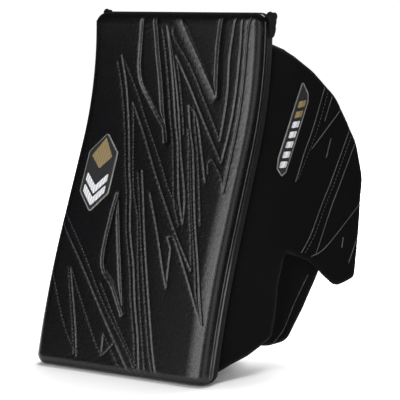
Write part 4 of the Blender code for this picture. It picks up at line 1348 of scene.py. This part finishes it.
class BLOCKER_OT_glove(bpy.types.Operator):
    """Makes the palm, the gussets, the hand pad and the tapes that hold the glove to the board"""
    bl_idname = "blocker.glove"
    bl_label = "Glove body"

    def execute(self, context):
        back = PALM_N + LEATHER
        palm = outline([(HAND_LEFT - 1.4, PALM_LOW, 2.0), (HAND_RIGHT + 1.4, PALM_LOW, 2.0),
                        (HAND_RIGHT + 1.4, 175.0, 3.0), (60.0, 178.0, 12.0), (60.0, 222.0, 12.0),
                        (HAND_RIGHT + 1.4, 225.0, 3.0), (HAND_RIGHT + 1.4, PALM_HIGH, 2.0),
                        (HAND_LEFT - 1.4, PALM_HIGH, 2.0)], 2.2)

        creases = sunk([curved(line, 4.0) for line in PALM_CREASES], 0.9, 4.0)
        skin = sheet("palm_leather_sheet", palm, back_layer, PALM_N, back, ["palm"], size=3.0, edge=1.4,
                     relief=creases)
        fit(skin, ["palm_sheet"], "board")
        grip = outline(rectangle(-16.0, 50.0, 154.0, 229.0, 14.0), 2.0)
        patch = sheet("palm_grip_print", grip, back_layer, back - 0.4, back + 1.6, ["grip"], size=3.0,
                      edge=1.2)
        fit(patch, ["palm_grip_patch"], "board")
        rows = [row_on(back_layer, ended(grown(grip, -2.2)), back + 1.5),
                row_on(back_layer, ended(grown(palm, -3.0)), back - 0.1)]
        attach(stitches("palm_stitching", rows, "thread", width=0.42), "board")
        self.gussets(back)
        self.layers()
        return {"FINISHED"}

    def gussets(self, back):
        """Side panels of the hand: the thumb's has a notch for the thumb."""
        front = GUSSET_FRONT
        little = outline(rectangle(front, back, PALM_LOW, PALM_HIGH, 2.0), 2.5)
        thumb = outline([(front, PALM_LOW, 2.0), (back, PALM_LOW, 2.0), (back, 173.0, 3.0),
                         (48.0, 182.0, 10.0), (48.0, 218.0, 10.0), (back, 227.0, 3.0), (back, PALM_HIGH, 2.0),
                         (front, PALM_HIGH, 2.0)], 2.2)
        left, right = HAND_LEFT - 0.4 - LEATHER, HAND_RIGHT + 0.4
        for name, loop, x, node in (("little_finger_side", little, left, "little_finger_gusset"),
                                    ("thumb_side", thumb, right, "thumb_gusset")):
            side = sheet(name, loop, gusset, x, x + LEATHER, ["palm"], size=3.0, edge=1.4)
            fit(side, [node], "board")

    def layers(self):
        """The pad behind the hand and the tapes that hold it to the board."""
        low, high = PALM_LOW + 2.0, PALM_HIGH - 2.0
        left, right = HAND_LEFT + 0.5, HAND_RIGHT - 0.5
        loop = outline(rectangle(left, right, low, high, 8.0), 2.5)
        pad = sheet("hand_back_pad", loop, back_layer, 26.4, 34.5, ["lining"], size=3.2, edge=4.0,
                    relief=sunk(FINGER_GAPS, 1.8, 5.0))
        fit(pad, ["hand_pad"], "board")
        loop = outline(rectangle(left + 4.0, right - 4.0, low + 4.0, high - 4.0, 6.0), 3.0)
        tapes(loop, 5.0, (("board_loop_tape", "board_loop_panel", "loop", 22.7, "board"),
                          ("glove_hook_tape", "glove_hook_panel", "hook", 24.3, "board")))


def finger_path(length_up, length_low, tuck):
    """Middle line of a bent finger from its knuckle, as (y, z), with its tip's end last."""
    reach = 7.0
    points = [(0.0, tuck)] + [(0.0, -k) for k in np.linspace(0.0, length_up - reach, 12)]
    bend_at = length_up + 0.8
    radius = reach / tan(CURL / 2)
    for k in range(1, 9):
        angle = CURL * k / 8
        points.append((radius * (1.0 - cos(angle)), -(bend_at - reach) - radius * sin(angle)))
    y, z = points[-1]
    for k in np.linspace(2.0, length_low - reach + 0.8, 10):
        points.append((y + k * sin(CURL), z - k * cos(CURL)))
    return np.array(points)


STALL_SIDES = 28
STALL_LEATHER = 1.6
STALL_END = (20, 40, 60, 78, 90)            # degrees round the closed end at which its rings lie


def stall_mesh(name, path, radius, round_end):
    """Hollow leather stall along places in millimetres, with an open or a round end and ridged seams."""
    ahead = np.gradient(path, axis=0)
    ahead = ahead / np.linalg.norm(ahead, axis=1)[:, None]
    angles = 2 * pi * np.arange(STALL_SIDES) / STALL_SIDES

    def ring(centre, axis, sizes):
        across = np.array((1.0, 0.0, 0.0)) - axis * axis[0]
        across = across / np.linalg.norm(across)
        palm = np.cross(across, axis)
        around = np.outer(np.cos(angles), across) + np.outer(np.sin(angles) * 0.94, palm)
        return centre + around * np.broadcast_to(sizes, angles.shape)[:, None]

    ridge = 1.0 + 0.035 * np.maximum(0.0, 1.0 - np.abs(np.sin(angles)) * 5.0)
    rings = [ring(centre, axis, radius * ridge) for centre, axis in zip(path, ahead)]
    if round_end:
        for angle in np.radians(STALL_END):
            centre = path[-1] + ahead[-1] * radius * sin(angle)
            rings.append(ring(centre, ahead[-1], max(radius * cos(angle), 0.4) * ridge))
    outer = len(rings)
    rings += [ring(centre, axis, radius - STALL_LEATHER) for centre, axis in zip(path[::-1], ahead[::-1])]
    faces = strips(len(rings), STALL_SIDES, closed=True)
    if round_end:
        tip = (outer - 1) * STALL_SIDES
        faces = [face for face in faces if not tip <= face[0] < tip + STALL_SIDES]
        faces.append(tuple(range(tip, tip + STALL_SIDES)))
        faces.append(tuple(range(tip + STALL_SIDES, tip + 2 * STALL_SIDES))[::-1])
    return turned_out(new_piece(name, np.concatenate(rings), faces, ["palm"]))


def stall(name, node, path, radius, round_end):
    """Stall along places, which stands for one part of the frame and is baked in place."""
    piece = stall_mesh(name, path, radius, round_end)
    fit(piece, [node], None)
    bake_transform(piece)


class BLOCKER_OT_fingers(bpy.types.Operator):
    """Makes the leather finger stalls, which bend at the knuckle and at the middle joint"""
    bl_idname = "blocker.fingers"
    bl_label = "Finger stalls"

    def execute(self, context):
        for name, x, upper, lower in FINGERS:
            plan = finger_path(upper, lower, 9.0)
            places = np.stack((np.full(len(plan), x), KNUCKLE_Y + plan[:, 0], KNUCKLE_Z + plan[:, 1]), -1)
            lean = np.clip((places[:, 2] - KNUCKLE_Z) / 9.0, 0.0, 1.0)
            places[:, 1] += lean * 9.0 * tan(WAIST_LEAN) * 0.8
            split = 13
            stall(name + "_finger_upper_skin", name + "_finger_upper", places[:split + 1], FINGER_RADIUS,
                  False)
            stall(name + "_finger_tip_skin", name + "_finger_tip", places[split:], FINGER_RADIUS, True)
        return {"FINISHED"}


class BLOCKER_OT_thumb(bpy.types.Operator):
    """Makes the leather thumb stall"""
    bl_idname = "blocker.thumb"
    bl_label = "Thumb stall"

    def execute(self, context):
        root, end = bend(*THUMB_ROOT), bend(*THUMB_END)
        along = (end - root) / np.linalg.norm(end - root)
        marks = np.linspace(-9.0, THUMB_BASE + THUMB_TIP + 1.6, 24)
        places = root + along * marks[:, None]
        split = int(np.argmin(np.abs(marks - THUMB_BASE + 3.0)))
        stall("thumb_base_skin", "thumb_base", places[:split + 1], THUMB_RADIUS, False)
        stall("thumb_tip_skin", "thumb_tip", places[split:], THUMB_RADIUS, True)
        return {"FINISHED"}


# ---- cuff, strap and lacing -------------------------------------------------------------------------
class BLOCKER_OT_cuff(bpy.types.Operator):
    """Makes the padded cuff with its sewn channels, and the wrist panel"""
    bl_idname = "blocker.cuff"
    bl_label = "Cuff"

    def execute(self, context):
        far = CUFF_SIDE + CUFF_TURN * pi / 2 + 20.0
        loop = outline([(-2.0, 242.0, 2.0), (far + 1.5, 242.0, 13.0), (far + 1.5, 302.0, 21.0),
                        (CUFF_SIDE, 336.5, 32.0), (-2.0, 336.5, 2.0)], 2.5)

        channels = ([(0, 268), (far, 262)], [(0, 300), (60, 296), (far - 8, 284)])
        looks = ["suede", "suede", "lining"]
        pad = sheet("cuff_panel", loop, cuff, -PANEL_HALF, PANEL_HALF, looks, size=3.0, edge=4.8,
                    relief=sunk(channels, 1.2, 5.0))
        fit(pad, ["cuff_core", "cuff_skin", "cuff_liner"], "board")
        tape = binding("cuff_edge_binding", grown(loop, 0.2), cuff, 3.4, "binding", proud=1.4)
        fit(tape, ["cuff_binding"], "board")
        rows = [row_on(cuff, line, PANEL_HALF - 1.0) for line in channels]
        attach(stitches("cuff_stitching", rows, "thread", width=0.42), "board")
        wrist = outline(rectangle(25.5, 80.5, 242.5, 300.5, 6.0), 2.5)
        pad = sheet("wrist_side_panel", wrist, gusset, 82.3, 89.7, ["lining"], size=3.0, edge=3.6)
        fit(pad, ["wrist_panel"], "board")
        return {"FINISHED"}


class BLOCKER_OT_strap(bpy.types.Operator):
    """Makes the wrist strap with its ring, tab and hook and loop patches"""
    bl_idname = "blocker.strap"
    bl_label = "Wrist strap"

    def execute(self, context):
        low, high = STRAP_MIDDLE - 15.0, STRAP_MIDDLE + 15.0
        band = outline([(STRAP_END, low, 10.0), (STRAP_X + 2.0, low, 0.0), (STRAP_X + 2.0, high, 0.0),
                        (STRAP_END, high, 10.0)], 2.2)
        web = sheet("wrist_strap_webbing", band, strap, 0.0, 2.2, ["webbing"], size=3.0, edge=1.0)
        fit(web, ["wrist_strap"], "wrist_strap")
        patch = outline(rectangle(STRAP_END + 2.0, STRAP_END + 24.0, low + 1.0, high - 1.0, 3.0), 2.2)
        tapes(patch, 4.0, (("strap_loop_tape", "strap_loop_patch", "loop", CUFF_OUTER + 0.1, "board"),
                           ("strap_hook_tape", "strap_hook_patch", "hook", CUFF_OUTER + 1.9, "wrist_strap")))
        left, right = STRAP_END + 3.0, STRAP_END + 23.0
        box = [(left, low + 2), (right, low + 2), (right, high - 2), (left, high - 2), (left, low + 2)]
        rows = [row_on(strap, box, 2.2), row_on(strap, [(74.0, low + 1.5), (74.0, high - 1.5)], 2.2)]
        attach(stitches("strap_stitching", rows, "thread", width=0.42), "wrist_strap")
        tab = outline(rectangle(78.5, 88.5, STRAP_MIDDLE - 13.0, STRAP_MIDDLE + 13.0, 1.5), 2.0)
        piece = sheet("ring_tab_webbing", tab, gusset, 84.3, 87.7, ["webbing"], size=2.5, edge=1.2)
        fit(piece, ["ring_tab"], "board")
        n, s = outline(rectangle(88.0, 97.0, low - 2.0, high + 2.0, 3.5), 1.2).T
        wire = tube("strap_ring_wire", bend(86.0, n, s), 1.5, "steel", sides=12, closed=True)
        fit(wire, ["strap_ring"], "board")
        return {"FINISHED"}


class BLOCKER_OT_lacing(bpy.types.Operator):
    """Makes the laced flange on the little finger side, and the bolster behind the fingers"""
    bl_idname = "blocker.lacing"
    bl_label = "Lacing and bolster"

    def execute(self, context):
        top = BACK_FACE + 2.2
        flange = outline(rectangle(-46.0, HAND_LEFT - 3.0, 146.0, 234.0, 5.0), 2.2)
        piece = sheet("lacing_flange_leather", flange, back_layer, BACK_FACE + 0.2, top, ["palm"],
                      size=3.0, edge=1.1)
        fit(piece, ["lacing_flange"], "board")
        rows = [row_on(back_layer, [(-43.5, 150), (-43.5, 230)], top - 0.1)]
        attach(stitches("flange_stitching", rows, "thread", width=0.42), "board")
        angles = np.linspace(0.0, 2 * pi, 33)[:-1]
        for number, s in enumerate(EYELET_ROWS, 1):
            ring = bend(EYELET_X + 3.6 * np.cos(angles), top + 0.9, s + 3.6 * np.sin(angles))
            rim = tube("eyelet_rim_%d" % number, ring, 1.3, "steel", sides=10, closed=True)
            fit(rim, ["eyelet_%d" % number], "board")
        for name, (a, b) in (("lower", EYELET_ROWS[:2]), ("upper", EYELET_ROWS[2:])):
            n, s = curved([(top, a), (top + 4.0, a + 1.0), (top + 5.6, a + 6.0), (top + 5.6, b - 6.0),
                           (top + 4.0, b - 1.0), (top, b)], 0.6).T
            twist = 1.0 + 0.06 * np.sin(np.arange(len(n)) * 1.7)
            lace = tube("lace_cord_" + name, bend(EYELET_X, n, s), 1.6, "lace", sides=10, taper=twist)
            fit(lace, ["lace_" + name], "board")
        self.bolster()
        return {"FINISHED"}

    def bolster(self):
        """Wedge of foam behind the fingers, thinner upwards."""
        loop = outline(rectangle(-24.0, 82.0, 46.0, 134.0, 10.0), 2.5)

        def place(x, s, t):
            deep = 46.0 - 12.0 * (s - 46.0) / 88.0
            return bend(x, 22.8 + t * (deep - 22.8), s)

        pad = sheet("finger_bolster_pad", loop, place, 0.0, 1.0, ["lining"], size=3.2, edge=7.0,
                    relief=sunk(FINGER_GAPS, 0.11, 6.0))
        fit(pad, ["finger_bolster"], "board")


# ---- stage ------------------------------------------------------------------------------------------
CENTRE = (0.03, 0.02, 0.18)     # of the piece, in metres
CAMERA_PLACE = (0.7555, -1.205, 0.3815)
CAMERA_DOWN = radians(8.225)
CAMERA_TURN = radians(29.0)
LENS = 130.26
# painted light: how strongly the floor glows for the camera, by distance from the piece; nearly none close to
# it
FLOOR_PAINTED_GLOW = ((0.06, 0.02), (0.16, 0.3), (0.3, 0.8), (0.5, 1.0))
WORLD_DIM = (0.035, 0.035, 0.038, 1.0)
WORLD_SEEN = (1.05, 1.05, 1.05, 1.0)


def area_light(name, place, target, size, power, shiny=True):
    """Soft box that faces its target. One that isn't shiny leaves no reflections."""
    light = bpy.data.lights.new(name, "AREA")
    light.shape = "RECTANGLE"
    light.size, light.size_y = size
    light.energy = power
    lamp = bpy.data.objects.new(name, light)
    lamp.visible_glossy = shiny
    lamp.location = place
    lamp.rotation_euler = (Vector(target) - Vector(place)).to_track_quat("-Z", "Y").to_euler()
    bpy.context.collection.objects.link(lamp)


class BLOCKER_OT_stage(bpy.types.Operator):
    """Makes the pale floor, the soft lights and the camera"""
    bl_idname = "blocker.stage"
    bl_label = "Studio"

    def execute(self, context):
        scene = context.scene
        scene.view_settings.view_transform = "Standard"
        scene.view_settings.look = "None"
        self.floor()
        self.world(scene)
        area_light("front_softbox", (-0.02, -1.75, 0.95), CENTRE, (0.66, 2.3), 27.0)
        area_light("right_softbox", (1.3, -1.1, 0.85), CENTRE, (0.5, 1.5), 4.5)
        area_light("top_softbox", (-0.05, 0.75, 1.7), (0.03, 0.0, 0.0), (1.5, 1.2), 60.0, shiny=False)
        area_light("back_fill", (0.3, 1.6, 0.9), CENTRE, (1.4, 1.0), 14.0)
        lens = bpy.data.cameras.new("camera")
        lens.lens = LENS
        lens.sensor_width = 36.0
        camera = bpy.data.objects.new("camera", lens)
        camera.location = CAMERA_PLACE
        camera.rotation_euler = (pi / 2 - CAMERA_DOWN, 0.0, CAMERA_TURN)
        context.collection.objects.link(camera)
        scene.camera = camera
        return {"FINISHED"}

    def floor(self):
        """Wide pale floor that glows for the camera only: painted light that makes it white and fades it into
        the background away from the piece, and is nearly off close to the piece, where the real shadow shows.
        """
        bm = bmesh.new()
        bmesh.ops.create_grid(bm, x_segments=24, y_segments=24, size=6.0)
        mesh = bpy.data.meshes.new("floor")
        bm.to_mesh(mesh)
        bm.free()
        floor = bpy.data.objects.new("floor", mesh)
        floor.location.z = -0.0004
        bpy.context.collection.objects.link(floor)
        look, nodes, made, place = shader("Studio floor", 0.9, specular=0.1)
        made.inputs["Base Color"].default_value = (0.86, 0.86, 0.86, 1.0)
        # The floor's emission is painted light, seen by the camera only and strongest away from the piece.
        made.inputs["Emission Strength"].default_value = 1.0
        seen = nodes.add("ShaderNodeLightPath").outputs["Is Camera Ray"]
        far = nodes.add("ShaderNodeVectorMath", {0: place}, operation="LENGTH").outputs["Value"]
        reach = nodes.ramp(nodes.math("DIVIDE", far, 2.0), FLOOR_PAINTED_GLOW)
        nodes.put(made.inputs["Emission Color"], nodes.mix(seen, (0.0, 0.0, 0.0, 1.0), reach))
        mesh.materials.append(look)

    def world(self, scene):
        """White behind the piece, and dim where it is only reflected."""
        world = scene.world or bpy.data.worlds.new("studio")
        scene.world = world
        world.use_nodes = True
        nodes = Nodes(world.node_tree)
        seen = nodes.add("ShaderNodeLightPath").outputs["Is Camera Ray"]
        colour = nodes.mix(seen, WORLD_DIM, WORLD_SEEN)
        nodes.put(world.node_tree.nodes["Background"].inputs["Color"], colour)


# ---- panel and registration -------------------------------------------------------------------------
OPERATORS = (
    BLOCKER_OT_materials, BLOCKER_OT_face, BLOCKER_OT_board_back, BLOCKER_OT_corners, BLOCKER_OT_emblem,
    BLOCKER_OT_side_wall, BLOCKER_OT_trims, BLOCKER_OT_badge, BLOCKER_OT_guard, BLOCKER_OT_glove,
    BLOCKER_OT_fingers, BLOCKER_OT_thumb, BLOCKER_OT_cuff, BLOCKER_OT_strap, BLOCKER_OT_lacing,
    BLOCKER_OT_stage,
)


class BLOCKER_PT_sidebar(bpy.types.Panel):
    """Lists the settings and the pieces in the order in which they are made"""
    bl_label = "Goalie blocker"
    bl_idname = "BLOCKER_PT_sidebar"
    bl_space_type = "VIEW_3D"
    bl_region_type = "UI"
    bl_category = "Blocker"

    def draw(self, context):
        column = self.layout.column()
        for name in BlockerSettings.__annotations__:
            column.prop(context.scene.blocker, name)
        for operator in OPERATORS:
            column.operator(operator.bl_idname)


CLASSES = (BlockerSettings, *OPERATORS, BLOCKER_PT_sidebar)


def register():
    for made in CLASSES:
        bpy.utils.register_class(made)
    bpy.types.Scene.blocker = PointerProperty(type=BlockerSettings)


def unregister():
    del bpy.types.Scene.blocker
    for made in reversed(CLASSES):
        bpy.utils.unregister_class(made)


def main():
    register()
    for operator in OPERATORS:
        family, name = operator.bl_idname.split(".")
        getattr(getattr(bpy.ops, family), name)()


if __name__ == "__main__":
    main()
